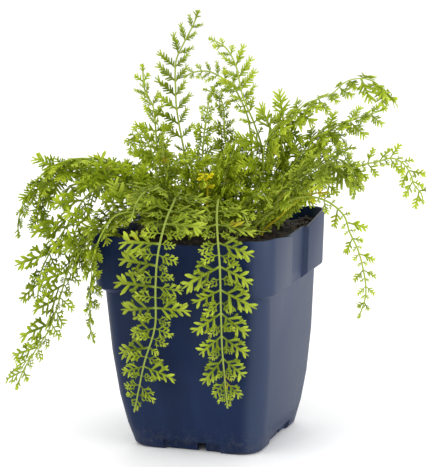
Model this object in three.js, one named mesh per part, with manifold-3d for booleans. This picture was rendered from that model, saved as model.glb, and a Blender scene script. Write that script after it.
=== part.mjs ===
// A young yarrow in its square nursery pot: the pot, the potting soil, and each feathery leaf on its
// own stalk, which stands in a hole in the soil. Millimetres, +Z up, the origin on the ground under the
// middle of the pot. The pot's sides face -Y (front), +X (right), +Y (back) and -X (left).
import * as THREE from "three";
import { mergeVertices } from "three/addons/utils/BufferGeometryUtils.js";
import Module from "manifold-3d";

const wasm = await Module();
wasm.setup();

// ---- Driving dimensions ----

// The pot's outside, from the ground up: height, half the width across flats, corner radius.
const POT_PROFILE = [
  [0, 37.4, 13],
  [1.5, 39, 12],
  [14, 42.1, 12],
  [31, 45, 12],
  [57, 47.6, 12],
  [92.6, 49.5, 12],
];
const COLLAR_BOTTOM = { z: 95.7, half: 53.6, corner: 13 };
const RIM = { z: 122.7, half: 55, corner: 13, wingRise: 4.7, wingStart: 10, wingEnd: 46 };
const RECESS_DEPTH = 3; // of the sunk middle panel of each side of the collar
const WALL = 1.6;
const FLOOR = { underside: 5, top: 7, half: 38.6, corner: 10.5 };
const FOOT_WALL = 2.2;
// Under the floor, each side has an arch between its two feet and, behind it, a rib with a notch.
const ARCH = { width: 34, height: 6, depth: 6, centre: 38.6 };
const FOOT_RIB = { centre: 36, thickness: 1.4, length: 36, bottom: 0.9 };
const NOTCH = { centre: 5.2, width: 5 };
const FOOT_PAD = { radius: 4.5, centre: 27.5 };
// How finely the outlines are drawn: points on each straight side, and steps round each corner.
// recessTo is how far the sunk panel reaches from the middle of a side.
const POT_OUTLINE = { flats: [-26, -14.5, -13.5, 13.5, 14.5, 26], recessTo: 13.5, arcSteps: 5 };
const SOIL_OUTLINE = { flats: [-16, -14.5, 14.5, 16], recessTo: 14.5, arcSteps: 3 };

const SOIL = { edge: 117.5, crown: 3, lump: 0.9, gap: 0.35 };
const STALK_HOLE = { radius: 1.9, sides: 5, depth: 9 };
const STALK_RISE = 2.5; // how far a stalk goes straight up out of the soil

// A leaf is a thin arched blade that is cut to the rib into leaflets.
const LEAF_THICKNESS = 0.62;
const RIB = { baseWidth: 1.6, tipWidth: 0.9, baseThickness: 1.6, tipThickness: 0.7 };
const STALK_STEP = 18; // the longest stretch of bare stalk between two cross-sections
const LEAFLET_ROOT = 1.4; // how wide a leaflet is where it leaves the rib
const LEAFLET_CURL = -0.12; // how far a leaflet's tip hangs, as a share of its length
const LEAFLETS_AT_TIP = 0.36; // the last leaflets' length, as a share of the longest
const HANG = { from: 0.1, full: 0.8 }; // the shares of a blade between which its leaflets start to droop
const LOBE_ANGLE = THREE.MathUtils.degToRad(48);
const SPREAD = [78, 48]; // a leaflet's angle to the rib, for the first and the last pair
const TURN_SWAY = 14; // by how many degrees in all the leaflets' angles differ at random
const FINGER_RADIUS = 0.6; // how far from its middle a leaflet's finger must stay clear of others
// What a leaflet without room tries, in this order: shorter shares of its length and, for each of them,
// [how much further it bends out of the blade, how much further it opens from the rib], in radians.
const SHORTENED = [1, 0.8, 0.6, 0.42];
const BENDS = [[0, 0], [0.35, 0.1], [-0.35, 0.1], [0, 0.3], [0.7, 0.2], [-0.7, 0.2]];
const LEAF_GAP = 0.3;
const POT_GAP = 1;

const LEAF_COLOURS = { fresh: 0x8fae24, mid: 0x6f8c1c, deep: 0x56701a, yellowed: 0xd8c23a };

// Each leaf: where its stalk leaves the soil, the compass heading in which it grows (0 is +X, 90 is +Y),
// and its rib's path as [out along the heading, height above the ground, aside to the left].
// bare: the share of stalk without leaflets; pairs: leaflet pairs; reach: the longest leaflet;
// lobes: fingers on each side of a leaflet; roll: the blade's turn about its rib; bushy: how far
// leaflets stand out of the blade by turns; spread: the leaflets' angles to the rib; hang: how much the
// leaflets towards the tip droop; end: the tip's leaflets as a share of reach; sides: the share of
// reach on the rib's left and right; skip: [pair, side] of leaflets that are missing.
const LEAVES = {
  // over the front rim
  leaf_front_left: {
    root: [-4, -6], heading: 266,
    path: [[8, 138, -1], [20, 147, -2], [40, 143, 2], [56, 135, 5], [63, 120, 4], [63, 101, 2],
      [61, 80, 0], [60, 58, -8], [58, 42, -13], [57, 28, -17]],
    bare: 0.2, pairs: 10, reach: 23, lobes: 2, roll: 0, bushy: 8, spread: [84, 56], end: 0.5,
    skip: [[2, 1], [3, 1], [6, 1]], colour: "fresh",
  },
  leaf_front_right: {
    root: [8, -7], heading: 288,
    path: [[8, 138, 0], [20, 144, 1], [40, 139, 1], [56, 130, 2], [61, 116, 3], [61, 95, 3],
      [60, 70, 3], [58, 50, 4], [57, 34, 5]],
    bare: 0.22, pairs: 11, reach: 20, lobes: 2, roll: 0, bushy: 8, spread: [58, 44], end: 0.75,
    colour: "fresh",
  },
  leaf_front_low_left: {
    root: [-10, -12], heading: 255,
    path: [[8, 138, 0], [22, 150, 1], [36, 153, 2], [48, 148, 3], [56, 138, 4]],
    bare: 0.2, pairs: 6, reach: 17, lobes: 1, roll: 0, bushy: 15, colour: "fresh",
  },
  leaf_front_low_mid: {
    root: [1, -14], heading: 262,
    path: [[6, 133, 3], [20, 138, 5], [32, 139, 6], [43, 135, 6]],
    bare: 0.18, pairs: 7, reach: 13, lobes: 1, roll: 0, bushy: 12, colour: "fresh",
  },
  leaf_front_low_right: {
    root: [15, -14], heading: 300,
    path: [[6, 132, 0], [18, 138, 3], [30, 139, 5], [40, 134, 6]],
    bare: 0.18, pairs: 6, reach: 15, lobes: 1, roll: 0, bushy: 12, colour: "fresh",
  },
  // long arching leaves on the left
  leaf_left_high: {
    root: [-16, -1], heading: 200,
    path: [[5, 138, 0], [20, 148, 0], [45, 162, 0], [60, 164, 0], [72, 161, 0], [81, 155, 0],
      [88, 146, 0], [93, 137, 0], [96, 127, 0], [96, 118, 0]],
    bare: 0.17, pairs: 8, reach: 19, lobes: 1, roll: 40, bushy: 20, hang: 0.5, end: 0.55,
    colour: "mid",
  },
  leaf_left_loop: {
    root: [-31, -1], heading: 200,
    path: [[4, 137, 0], [14, 145, 0], [34, 155, 0], [44, 157, 0], [55, 157, 0], [64, 153, 0],
      [68, 146, 0], [69, 137, 0], [69, 129, 0], [64, 123, 0], [57, 123, 0]],
    bare: 0.22, pairs: 7, reach: 16, lobes: 0, roll: 40, bushy: 20, hang: 0.5, end: 0.6,
    colour: "mid",
  },
  leaf_left_middle: {
    root: [-17, -9], heading: 214,
    path: [[5, 137, 0], [26, 150, 0], [47, 149, 0], [66, 126, 0], [75, 113, 0], [80, 102, 0],
      [83, 84, 0]],
    bare: 0.22, pairs: 8, reach: 20, lobes: 1, roll: 60, bushy: 20, hang: 0.1, end: 0.6,
    sides: [1, 0.6], colour: "mid",
  },
  leaf_left_long: {
    root: [-13, -15], heading: 220,
    path: [[6, 135, 0], [18, 140, 0], [31, 142, 0], [41, 137, 0], [51, 131, 0], [60, 119, 0],
      [67, 105, 0], [71, 94, 0], [75, 83, 0], [80, 72, 0], [87, 63, 0], [94, 53, 0], [100, 41, 0]],
    bare: 0.26, pairs: 9, reach: 19, lobes: 1, roll: 60, bushy: 18, hang: 0, end: 0.45,
    sides: [1, 0.5], colour: "mid",
  },
  leaf_left_close: {
    root: [-4, -24], heading: 231,
    path: [[9, 132, 0], [24, 138, 0], [44, 140, 0], [51, 135, 0], [56, 128, 0], [60, 119, 0],
      [62, 108, 0], [63, 97, 0], [64, 86, 0], [64, 77, 0], [62, 69, 0]],
    bare: 0.58, pairs: 5, reach: 13, lobes: 0, roll: 40, bushy: 20, hang: 0.2, colour: "deep",
  },
  leaf_left_clump: {
    root: [-12, -21], heading: 226,
    path: [[7, 132, 0], [20, 138, 0], [35, 139, 0], [42, 134, 0], [49, 128, 0], [56, 121, 0],
      [61, 114, 0], [65, 106, 0]],
    bare: 0.18, pairs: 7, reach: 15, lobes: 0, roll: 0, bushy: 20, hang: 0.4, sides: [0.5, 1],
    colour: "fresh",
  },
  leaf_left_upper: {
    root: [-22, 5], heading: 191,
    path: [[7, 138, 0], [20, 145, 0], [44, 149, 0], [55, 148, 0], [64, 144, 0], [69, 137, 0],
      [67, 129, 0]],
    bare: 0.2, pairs: 6, reach: 16, lobes: 0, roll: 30, bushy: 20, hang: 0.5, end: 0.5,
    colour: "mid",
  },
  leaf_left_back: {
    root: [-24, 12], heading: 172,
    path: [[8, 139, 0], [20, 147, 0], [49, 155, 0], [63, 157, 0], [77, 155, 0], [88, 150, 0],
      [96, 142, 0], [101, 133, 0]],
    bare: 0.2, pairs: 7, reach: 14, lobes: 0, roll: 25, bushy: 20, hang: 0.5, colour: "mid",
  },
  // upright leaves
  leaf_tall: {
    root: [-15, 6], heading: 200,
    path: [[0, 137, 0], [1, 158, 0], [3, 171, 0], [5, 184, 0], [6, 194, 0], [6, 203, 0],
      [6, 211, 0], [5, 219, 0], [0, 229, 0], [-5, 238, 0], [-9, 247, 0]],
    bare: 0.24, pairs: 8, reach: 19, lobes: 1, roll: 88, bushy: 15, spread: [55, 38],
    sides: [0.75, 1.1], colour: "deep",
  },
  leaf_tall_side: {
    root: [19, 22], heading: 198,
    path: [[2, 138, 0], [4, 148, 0], [1, 161, 0], [1, 172, 0], [2, 182, 0], [4, 189, 0],
      [7, 196, 0], [11, 203, 0], [18, 208, 0], [24, 211, 0], [32, 211, 0], [39, 208, 0]],
    bare: 0.62, pairs: 4, reach: 11, lobes: 0, roll: 80, bushy: 20, colour: "mid",
  },
  leaf_upright_left: {
    root: [-24, 0], heading: 190,
    path: [[2, 137, 0], [4, 150, 0], [7, 165, 0], [8, 184, 0], [9, 193, 0], [13, 200, 0],
      [14, 208, 0], [14, 217, 0]],
    bare: 0.25, pairs: 7, reach: 14, lobes: 0, roll: 80, bushy: 25, spread: [60, 40], colour: "mid",
  },
  leaf_upright_outer: {
    root: [-27, -8], heading: 205,
    path: [[2, 136, 0], [2, 152, 0], [4, 166, 0], [7, 174, 0], [10, 178, 0], [14, 177, 0],
      [16, 172, 0], [17, 166, 0]],
    bare: 0.22, pairs: 6, reach: 15, lobes: 0, roll: 75, bushy: 20, colour: "mid",
  },
  leaf_upright_bright: {
    root: [-21, -14], heading: 210,
    path: [[0, 137, 0], [0, 149, 0], [0, 157, 0], [1, 167, 0], [1, 178, 0]],
    bare: 0.18, pairs: 6, reach: 11, lobes: 0, roll: 60, bushy: 35, colour: "fresh",
  },
  leaf_middle_left: {
    root: [0, 10], heading: 215,
    path: [[-1, 139, 0], [-6, 149, 0], [-8, 162, 0], [-6, 174, 0], [-6, 182, 0], [-6, 190, 0],
      [-4, 196, 0], [1, 200, 0], [6, 202, 0]],
    bare: 0.2, pairs: 8, reach: 11, lobes: 0, roll: 70, bushy: 25, colour: "deep",
  },
  leaf_middle_inner: {
    root: [-6, 11], heading: 20,
    path: [[2, 139, 0], [-2, 157, 0], [-1, 172, 0], [1, 185, 0], [3, 195, 0], [6, 201, 0]],
    bare: 0.2, pairs: 6, reach: 11, lobes: 0, roll: 60, bushy: 30, colour: "mid",
  },
  leaf_middle: {
    root: [4, 2], heading: 15,
    path: [[3, 143, 0], [6, 157, 0], [10, 167, 0], [12, 177, 0]],
    bare: 0.22, pairs: 6, reach: 13, lobes: 0, roll: 20, bushy: 30, colour: "mid",
  },
  leaf_middle_front: {
    root: [-5, 0], heading: 270,
    path: [[4, 138, 0], [10, 154, 0], [20, 165, 1], [30, 166, 2]],
    bare: 0.2, pairs: 6, reach: 14, lobes: 0, roll: 0, bushy: 30, colour: "mid",
  },
  leaf_middle_right: {
    root: [12, 6], heading: 50,
    path: [[2, 138, 0], [5, 154, 0], [7, 166, 0], [11, 176, 0]],
    bare: 0.22, pairs: 5, reach: 13, lobes: 0, roll: 70, bushy: 30, colour: "deep",
  },
  leaf_arch_middle: {
    root: [13, 15], heading: 32,
    path: [[9, 142, 0], [14, 162, 0], [10, 179, 0], [3, 197, 0], [-1, 216, 0], [-7, 226, 0],
      [-16, 231, 0]],
    bare: 0.42, pairs: 8, reach: 15, lobes: 1, roll: 88, bushy: 15, spread: [60, 42],
    sides: [1, 0.75], colour: "mid",
  },
  leaf_column: {
    root: [33, 22], heading: 30,
    path: [[2, 133, 0], [4, 149, 0], [4, 167, 0]],
    bare: 0.12, pairs: 4, reach: 6, lobes: 0, roll: 75, bushy: 35, colour: "fresh",
  },
  // long arching leaves on the right
  leaf_right_high: {
    root: [26, 15], heading: 20,
    path: [[5, 142, 0], [10, 157, 0], [13, 172, 0], [19, 184, 0], [26, 192, 0], [34, 195, 0],
      [42, 198, 0], [49, 204, 0], [56, 206, 0], [64, 205, 0], [70, 200, 0], [72, 195, 0],
      [74, 190, 0]],
    bare: 0.2, pairs: 9, reach: 16, lobes: 1, roll: 20, bushy: 25, spread: [76, 60], hang: 1.4,
    end: 0.85, colour: "mid",
  },
  leaf_right_slant: {
    root: [18, 10], heading: 20,
    path: [[3, 139, 0], [10, 151, 0], [11, 161, 0], [12, 169, 0], [17, 178, 0], [24, 185, 0],
      [31, 190, 0]],
    bare: 0.38, pairs: 5, reach: 14, lobes: 0, roll: 50, bushy: 35, hang: 0.3, colour: "mid",
  },
  leaf_right_second: {
    root: [28, 8], heading: 9,
    path: [[8, 143, 0], [18, 156, 0], [26, 168, 0], [35, 176, 0], [44, 181, 0], [52, 184, 0],
      [60, 187, 0], [67, 189, 0], [73, 193, 0]],
    bare: 0.18, pairs: 8, reach: 14, lobes: 1, roll: 25, bushy: 30, hang: 0.3, end: 0.6,
    colour: "mid",
  },
  leaf_right_inner: {
    root: [31.5, 14.5], heading: 16,
    path: [[4, 141, 0], [7, 155, 0], [6, 166, 0], [9, 178, 0], [14, 185, 0], [22, 190, 0],
      [31, 191, 0]],
    bare: 0.18, pairs: 6, reach: 15, lobes: 0, roll: 25, bushy: 35, hang: 0.5, colour: "mid",
  },
  leaf_right_broad: {
    root: [37, 12], heading: 13,
    path: [[4, 139, 0], [9, 155, 0], [15, 166, 0], [22, 173, 0], [30, 177, 0], [37, 174, 0],
      [40, 167, 0]],
    bare: 0.16, pairs: 5, reach: 14, lobes: 0, roll: 25, bushy: 35, hang: 0.5, colour: "fresh",
  },
  leaf_right_third: {
    root: [30, 3], heading: 5,
    path: [[15, 138, 0], [30, 156, 0], [44, 168, 0], [56, 171, 0]],
    bare: 0.18, pairs: 5, reach: 15, lobes: 0, roll: 30, bushy: 30, hang: 0.3, colour: "fresh",
  },
  leaf_right_far: {
    root: [25, -2], heading: 8,
    path: [[14, 134, 0], [31, 143, 0], [43, 150, 0], [55, 156, 0], [65, 161, 0], [74, 163, 0],
      [82, 165, 0], [88, 162, 0], [92, 156, 0], [94, 150, 0], [98, 145, 0], [99, 139, 0]],
    bare: 0.3, pairs: 7, reach: 10, lobes: 0, roll: 55, bushy: 20, hang: 0, end: 0.9, colour: "mid",
  },
  leaf_right_hanging: {
    root: [29, -11], heading: 0,
    path: [[12, 135, 0], [27, 144, 0], [38, 145, 0], [47, 142, 0], [55, 135, 0], [58, 126, 0],
      [62, 118, 0], [65, 108, 0], [67, 93, 0], [65, 84, 0], [62, 77, 0]],
    bare: 0.42, pairs: 7, reach: 11, lobes: 1, roll: 80, bushy: 18, spread: [66, 45], end: 0.4,
    colour: "mid",
  },
  leaf_right_bowed: {
    root: [26, -7], heading: 350,
    path: [[12, 134, 0], [30, 152, 0], [46, 163, 0], [58, 168, 0], [65, 164, 0], [68, 156, 0],
      [67, 146, 0]],
    bare: 0.28, pairs: 6, reach: 14, lobes: 0, roll: 20, bushy: 30, hang: 0.7, colour: "fresh",
  },
  leaf_near_corner: {
    root: [19, -9], heading: 318,
    path: [[5, 134, 0], [14, 144, 3], [24, 147, 5], [32, 141, 6]],
    bare: 0.22, pairs: 4, reach: 10, lobes: 0, roll: 0, bushy: 25, colour: "deep",
  },
  leaf_curled: {
    root: [23, -18], heading: 300,
    path: [[4, 127, 1], [12, 129, 4], [20, 128, 9], [24, 129, 15]],
    bare: 0.35, pairs: 4, reach: 6, lobes: 0, roll: 0, bushy: 10, colour: "fresh",
  },
  // behind
  leaf_back_right_low: {
    root: [21, 30], heading: 52,
    path: [[6, 138, 0], [18, 151, 0], [32, 155, 0], [44, 147, 0], [52, 134, 0]],
    bare: 0.22, pairs: 5, reach: 13, lobes: 0, roll: 0, bushy: 15, colour: "mid",
  },
  leaf_back_right: {
    root: [12, 26], heading: 84,
    path: [[6, 140, 0], [18, 152, 0], [32, 150, 0], [41, 136, 0], [44, 114, 0], [44, 88, 0],
      [41, 62, 0]],
    bare: 0.2, pairs: 5, reach: 18, lobes: 0, roll: 0, bushy: 10, colour: "fresh",
  },
  leaf_back: {
    root: [3, 22], heading: 103,
    path: [[6, 141, 0], [20, 156, 0], [37, 158, 0], [52, 146, 0], [60, 122, 0], [63, 96, 0]],
    bare: 0.22, pairs: 5, reach: 15, lobes: 0, roll: 0, bushy: 15, colour: "mid",
  },
  leaf_back_left: {
    root: [-6, 21], heading: 124,
    path: [[6, 140, 0], [20, 152, 0], [39, 152, 0], [56, 136, 0], [63, 112, 0], [65, 86, 0],
      [62, 62, 0]],
    bare: 0.2, pairs: 5, reach: 17, lobes: 0, roll: 0, bushy: 10, colour: "fresh",
  },
  leaf_back_far_left: {
    root: [-15, 20], heading: 148,
    path: [[8, 140, 0], [26, 156, 0], [48, 157, 0], [64, 144, 0], [74, 122, 0]],
    bare: 0.22, pairs: 5, reach: 15, lobes: 0, roll: 15, bushy: 20, colour: "mid",
  },
  // yellowed leaves
  leaf_yellowed_middle: {
    root: [0, -5], heading: 262,
    path: [[3, 136, 2], [6, 149, 4], [13, 157, 6], [20, 157, 9]],
    bare: 0.6, pairs: 3, reach: 6, lobes: 0, roll: 30, bushy: 20, colour: "yellowed",
  },
  leaf_yellowed_right: {
    root: [33, -4], heading: 358,
    path: [[10, 131, 0], [21, 141, 0], [32, 146, 0], [41, 147, 0]],
    bare: 0.78, pairs: 2, reach: 6, lobes: 0, roll: 60, bushy: 10, colour: "yellowed",
  },
};

// ---- Solids from three.js geometry ----

// A three.js geometry as a manifold-3d solid, with its shared corners merged.
function solidOf(geometry) {
  const bare = geometry.index ? geometry.toNonIndexed() : geometry.clone();
  const points = new THREE.BufferGeometry().setAttribute("position", bare.getAttribute("position"));
  const merged = mergeVertices(points, 1e-4);
  const kept = [];
  for (let i = 0; i < merged.index.count; i += 3) {
    const [a, b, c] = [0, 1, 2].map((k) => merged.index.array[i + k]);
    if (a !== b && b !== c && a !== c) kept.push(a, b, c);
  }
  return new wasm.Manifold(
    new wasm.Mesh({
      numProp: 3,
      vertProperties: new Float32Array(merged.attributes.position.array),
      triVerts: new Uint32Array(kept),
    }),
  );
}

function geometryOf(solid) {
  const mesh = solid.getMesh();
  return new THREE.BufferGeometry()
    .setAttribute("position", new THREE.BufferAttribute(new Float32Array(mesh.vertProperties), 3))
    .setIndex(new THREE.BufferAttribute(new Uint32Array(mesh.triVerts), 1));
}

function boxAt(x, y, z, sizeX, sizeY, sizeZ) {
  return solidOf(new THREE.BoxGeometry(sizeX, sizeY, sizeZ).translate(x, y, z));
}

function postAt(x, y, bottom, top, radius, sides) {
  const post = new THREE.CylinderGeometry(radius, radius, top - bottom, sides);
  return solidOf(post.rotateX(Math.PI / 2).translate(x, y, (bottom + top) / 2));
}

// Four copies of a solid, a quarter turn apart, with one operation applied for each.
function onEachSide(body, tool, operation) {
  let result = body;
  for (let side = 0; side < 4; side++) result = result[operation](tool.rotate([0, 0, 90 * side]));
  return result;
}

const mix = (a, b, share) => a + (b - a) * share;
const smoothStep = (low, high, x) => THREE.MathUtils.smoothstep(x, low, high);

// ---- The pot ----

const STRAIGHT_AT_RIM = RIM.half - RIM.corner;

const pointsPerSide = ({ flats, arcSteps }) => flats.length + arcSteps + 1;

// The i-th point round a rounded square: x, y, and where it lies along its side (for the rim's wings).
function squarePoint(outline, i, half, corner, recess) {
  const { flats, recessTo, arcSteps } = outline;
  const turn = (Math.floor(i / pointsPerSide(outline)) * Math.PI) / 2;
  const k = i % pointsPerSide(outline);
  const straight = half - corner;
  let out, along;
  if (k < flats.length) {
    along = (flats[k] * straight) / STRAIGHT_AT_RIM;
    out = half - (Math.abs(flats[k]) <= recessTo ? recess : 0);
  } else {
    const angle = ((k - flats.length) / arcSteps) * (Math.PI / 2);
    out = straight + corner * Math.cos(angle);
    along = straight + corner * Math.sin(angle);
  }
  const spot = k < flats.length ? Math.abs(flats[k]) : STRAIGHT_AT_RIM;
  return {
    x: out * Math.cos(turn) - along * Math.sin(turn),
    y: out * Math.sin(turn) + along * Math.cos(turn),
    spot,
  };
}

function rimHeight(spot) {
  return RIM.z + RIM.wingRise * smoothStep(RIM.wingStart, RIM.wingEnd, spot);
}

// A closed body from a stack of rounded squares, as a lathe's rings. A ring is
// { z or height(point), half, corner, recess }, and the first and last rings shrink to the axis.
function squareLathe(outline, rings) {
  const around = 4 * pointsPerSide(outline);
  const lathe = new THREE.LatheGeometry(rings.map((ring, j) => new THREE.Vector2(ring.half, j)), around);
  const position = lathe.getAttribute("position");
  for (let i = 0; i <= around; i++) {
    rings.forEach((ring, j) => {
      const point = squarePoint(outline, i % around, ring.half, ring.corner, ring.recess ?? 0);
      const z = ring.height ? ring.height(point) : ring.z;
      position.setXYZ(i * rings.length + j, point.x, point.y, z);
    });
  }
  return solidOf(lathe);
}

const AXIS = { half: 0, corner: 0 };
const inset = (ring, by) => ({ ...ring, half: ring.half - by, corner: Math.max(ring.corner - by, 1) });

const ringAt = ([z, half, corner]) => ({ z, half, corner });
const BODY_WIDEST = ringAt(POT_PROFILE.at(-1));
const BODY_BELLY = ringAt(POT_PROFILE[3]);

function buildPot() {
  const foot = inset(ringAt(POT_PROFILE[0]), FOOT_WALL);
  const rim = { half: RIM.half, corner: RIM.corner, recess: RECESS_DEPTH, height: (p) => rimHeight(p.spot) };
  let pot = squareLathe(POT_OUTLINE, [
    { ...AXIS, z: FLOOR.underside },
    { ...foot, z: FLOOR.underside },
    foot,
    ...POT_PROFILE.map(ringAt),
    { ...COLLAR_BOTTOM, recess: RECESS_DEPTH },
    rim,
    inset(rim, WALL),
    { ...inset(COLLAR_BOTTOM, WALL), z: COLLAR_BOTTOM.z + 1, recess: RECESS_DEPTH },
    { ...inset(BODY_WIDEST, WALL), z: BODY_WIDEST.z - 1 },
    inset(BODY_BELLY, WALL),
    { ...FLOOR, z: FLOOR.top },
    { ...AXIS, z: FLOOR.top },
  ]);
  const arch = boxAt(ARCH.centre, 0, ARCH.height / 2 - 1, ARCH.depth, ARCH.width, ARCH.height + 2);
  const ribTop = FLOOR.underside + 0.5;
  const ribHeight = ribTop - FOOT_RIB.bottom;
  const ribMiddle = ribTop - ribHeight / 2;
  const rib = boxAt(FOOT_RIB.centre, 0, ribMiddle, FOOT_RIB.thickness, FOOT_RIB.length, ribHeight);
  const notchDepth = 2 * FOOT_RIB.thickness;
  const notch = boxAt(FOOT_RIB.centre, NOTCH.centre, 0, notchDepth, NOTCH.width, 2 * FLOOR.underside);
  const pad = postAt(FOOT_PAD.centre, FOOT_PAD.centre, 0, ribTop, FOOT_PAD.radius, 12);
  pot = onEachSide(pot, arch, "subtract");
  pot = onEachSide(pot, rib, "add");
  pot = onEachSide(pot, notch, "subtract");
  return onEachSide(pot, pad, "add");
}

// ---- The soil ----

// The soil's height: a low mound with lumps.
function soilHeight(x, y) {
  const edge = Math.max(Math.abs(x), Math.abs(y)) / RIM.half;
  const lumps = Math.sin(0.31 * x + 1.3) * Math.cos(0.27 * y) + 0.7 * Math.sin(0.55 * x - 0.47 * y);
  return SOIL.edge + SOIL.crown * (1 - edge * edge) + SOIL.lump * lumps;
}

function buildSoil(leaves) {
  const inside = WALL + SOIL.gap;
  const top = (share) => ({
    half: (RIM.half - 0.4 - inside) * share,
    corner: (RIM.corner - inside) * share,
    recess: RECESS_DEPTH * share,
    height: (p) => soilHeight(p.x, p.y),
  });
  let soil = squareLathe(SOIL_OUTLINE, [
    { ...AXIS, z: FLOOR.top + SOIL.gap },
    { ...inset(FLOOR, SOIL.gap), z: FLOOR.top + SOIL.gap },
    inset(BODY_BELLY, inside),
    { ...inset(BODY_WIDEST, inside), z: BODY_WIDEST.z - 1 },
    { ...inset(COLLAR_BOTTOM, inside), z: COLLAR_BOTTOM.z + 5, recess: RECESS_DEPTH },
    top(1),
    top(0.72),
    top(0.4),
    { ...AXIS, height: () => soilHeight(0, 0) },
  ]);
  for (const { root } of leaves) {
    const surface = soilHeight(...root);
    soil = soil.subtract(postAt(...root, surface - STALK_HOLE.depth, surface + 5, STALK_HOLE.radius,
      STALK_HOLE.sides));
  }
  return soil;
}

// ---- Leaves ----

function makeRandom(seed) {
  let state = seed * 7919;
  const next = () => {
    state = (state * 1664525 + 1013904223) % 4294967296;
    return state / 4294967296;
  };
  next();
  return next;
}

// A leaf's rib as a function of the distance along it: the point, the direction of growth, the
// direction to the blade's left and the blade's upper face.
function ribOf(leaf) {
  const heading = THREE.MathUtils.degToRad(leaf.heading);
  const ahead = new THREE.Vector3(Math.cos(heading), Math.sin(heading), 0);
  const left = new THREE.Vector3(-Math.sin(heading), Math.cos(heading), 0);
  const ground = new THREE.Vector3(leaf.root[0], leaf.root[1], 0);
  const surface = soilHeight(...leaf.root);
  const knots = [[0, surface - STALK_HOLE.depth + 1, 0], [0, surface + STALK_RISE, 0], ...leaf.path].map(
    ([out, up, aside]) =>
      ground.clone().addScaledVector(ahead, out).addScaledVector(left, aside).setZ(up),
  );
  const steps = 8 * (knots.length - 1);
  const points = new THREE.CatmullRomCurve3(knots, false, "centripetal").getPoints(steps);
  const reached = [0];
  for (let i = 1; i < points.length; i++) {
    reached.push(reached[i - 1] + points[i].distanceTo(points[i - 1]));
  }
  const length = reached.at(-1);
  const roll = THREE.MathUtils.degToRad(leaf.roll);
  const at = (distance) => {
    const s = Math.min(Math.max(distance, 0), length);
    let i = 1;
    while (i < points.length - 1 && reached[i] < s) i++;
    const share = (s - reached[i - 1]) / (reached[i] - reached[i - 1]);
    const point = points[i - 1].clone().lerp(points[i], share);
    const before = points[Math.max(i - 2, 0)];
    const after = points[Math.min(i + 1, points.length - 1)];
    const along = after.clone().sub(before).normalize();
    const flatSide = left.clone().addScaledVector(along, -left.dot(along)).normalize();
    const flatFace = along.clone().cross(flatSide);
    const turned = roll * smoothStep(0, 0.3, s / length);
    const side = flatSide.clone().multiplyScalar(Math.cos(turned));
    side.addScaledVector(flatFace, Math.sin(turned));
    return { point, along, side, face: along.clone().cross(side) };
  };
  return { at, length };
}

// Spheres already taken by ribs and leaflets, in a grid of cells.
const CELL = 3;
const taken = new Map();
const cellOf = (v) => Math.floor(v / CELL);

function take(spheres, owner) {
  for (const { p, radius } of spheres) {
    const key = `${cellOf(p.x)},${cellOf(p.y)},${cellOf(p.z)}`;
    if (!taken.has(key)) taken.set(key, []);
    taken.get(key).push({ p, owner, radius });
  }
}

function* takenNear(p) {
  for (let i = cellOf(p.x) - 1; i <= cellOf(p.x) + 1; i++) {
    for (let j = cellOf(p.y) - 1; j <= cellOf(p.y) + 1; j++) {
      for (let k = cellOf(p.z) - 1; k <= cellOf(p.z) + 1; k++) {
        yield* taken.get(`${i},${j},${k}`) ?? [];
      }
    }
  }
}

function isClear(spheres, ownRib) {
  for (const { p, radius, offRib } of spheres) {
    if (!clearOfPot(p)) return false;
    for (const other of takenNear(p)) {
      const least = radius + other.radius + LEAF_GAP;
      if ((offRib || other.owner !== ownRib) && p.distanceTo(other.p) < least) return false;
    }
  }
  return true;
}

// The distance outside (or, when negative, inside) the pot's outer face at a point's height.
function outsidePot(p) {
  const stack = [...POT_PROFILE, [COLLAR_BOTTOM.z, COLLAR_BOTTOM.half, COLLAR_BOTTOM.corner],
    [RIM.z, RIM.half, RIM.corner]];
  let i = 1;
  while (i < stack.length - 1 && stack[i][0] < p.z) i++;
  const share = Math.min(Math.max((p.z - stack[i - 1][0]) / (stack[i][0] - stack[i - 1][0]), 0), 1);
  const half = mix(stack[i - 1][1], stack[i][1], share);
  const corner = mix(stack[i - 1][2], stack[i][2], share);
  const x = Math.abs(p.x) - half + corner;
  const y = Math.abs(p.y) - half + corner;
  return Math.hypot(Math.max(x, 0), Math.max(y, 0)) + Math.min(Math.max(x, y), 0) - corner;
}

function clearOfPot(p) {
  if (p.z > RIM.z + RIM.wingRise + POT_GAP) return true;
  const outside = outsidePot(p);
  if (outside > POT_GAP) return p.z > 2 * POT_GAP;
  const innerFace = -WALL - RECESS_DEPTH - POT_GAP;
  return outside < innerFace && p.z > soilHeight(p.x, p.y) + POT_GAP;
}

// A leaflet's outline in its own plane, as distances out from the rib and half-widths. Each station
// narrows the leaflet to its own rib, and the stretch before it carries a finger on each side.
function leafletOutline(length, lobes) {
  const blade = { stations: [{ out: 0.56 * length, half: 0.16 * length + 0.2 }], fingers: [] };
  const fork = {
    stations: [{ out: Math.max(0.38 * length, 3.4), half: 0.08 * length + 0.2 }],
    fingers: [{ from: 0.2 * length, long: 0.46 * length }],
  };
  const feather = {
    stations: [{ out: 0.28 * length, half: 1 }, { out: 0.58 * length, half: 1 }],
    fingers: [{ from: 0.13 * length, long: 0.36 * length }, { from: 0.42 * length, long: 0.34 * length }],
  };
  return { ...[blade, fork, feather][lobes], end: length };
}

const placeOn = (leaflet, out, ahead) =>
  leaflet.origin
    .clone()
    .addScaledVector(leaflet.outward, out)
    .addScaledVector(leaflet.front, ahead)
    .addScaledVector(leaflet.face, (LEAFLET_CURL * out * out) / leaflet.length);

const fingertip = ({ from, long }) => [
  from + long * Math.cos(LOBE_ANGLE),
  long * Math.sin(LOBE_ANGLE),
];

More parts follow.
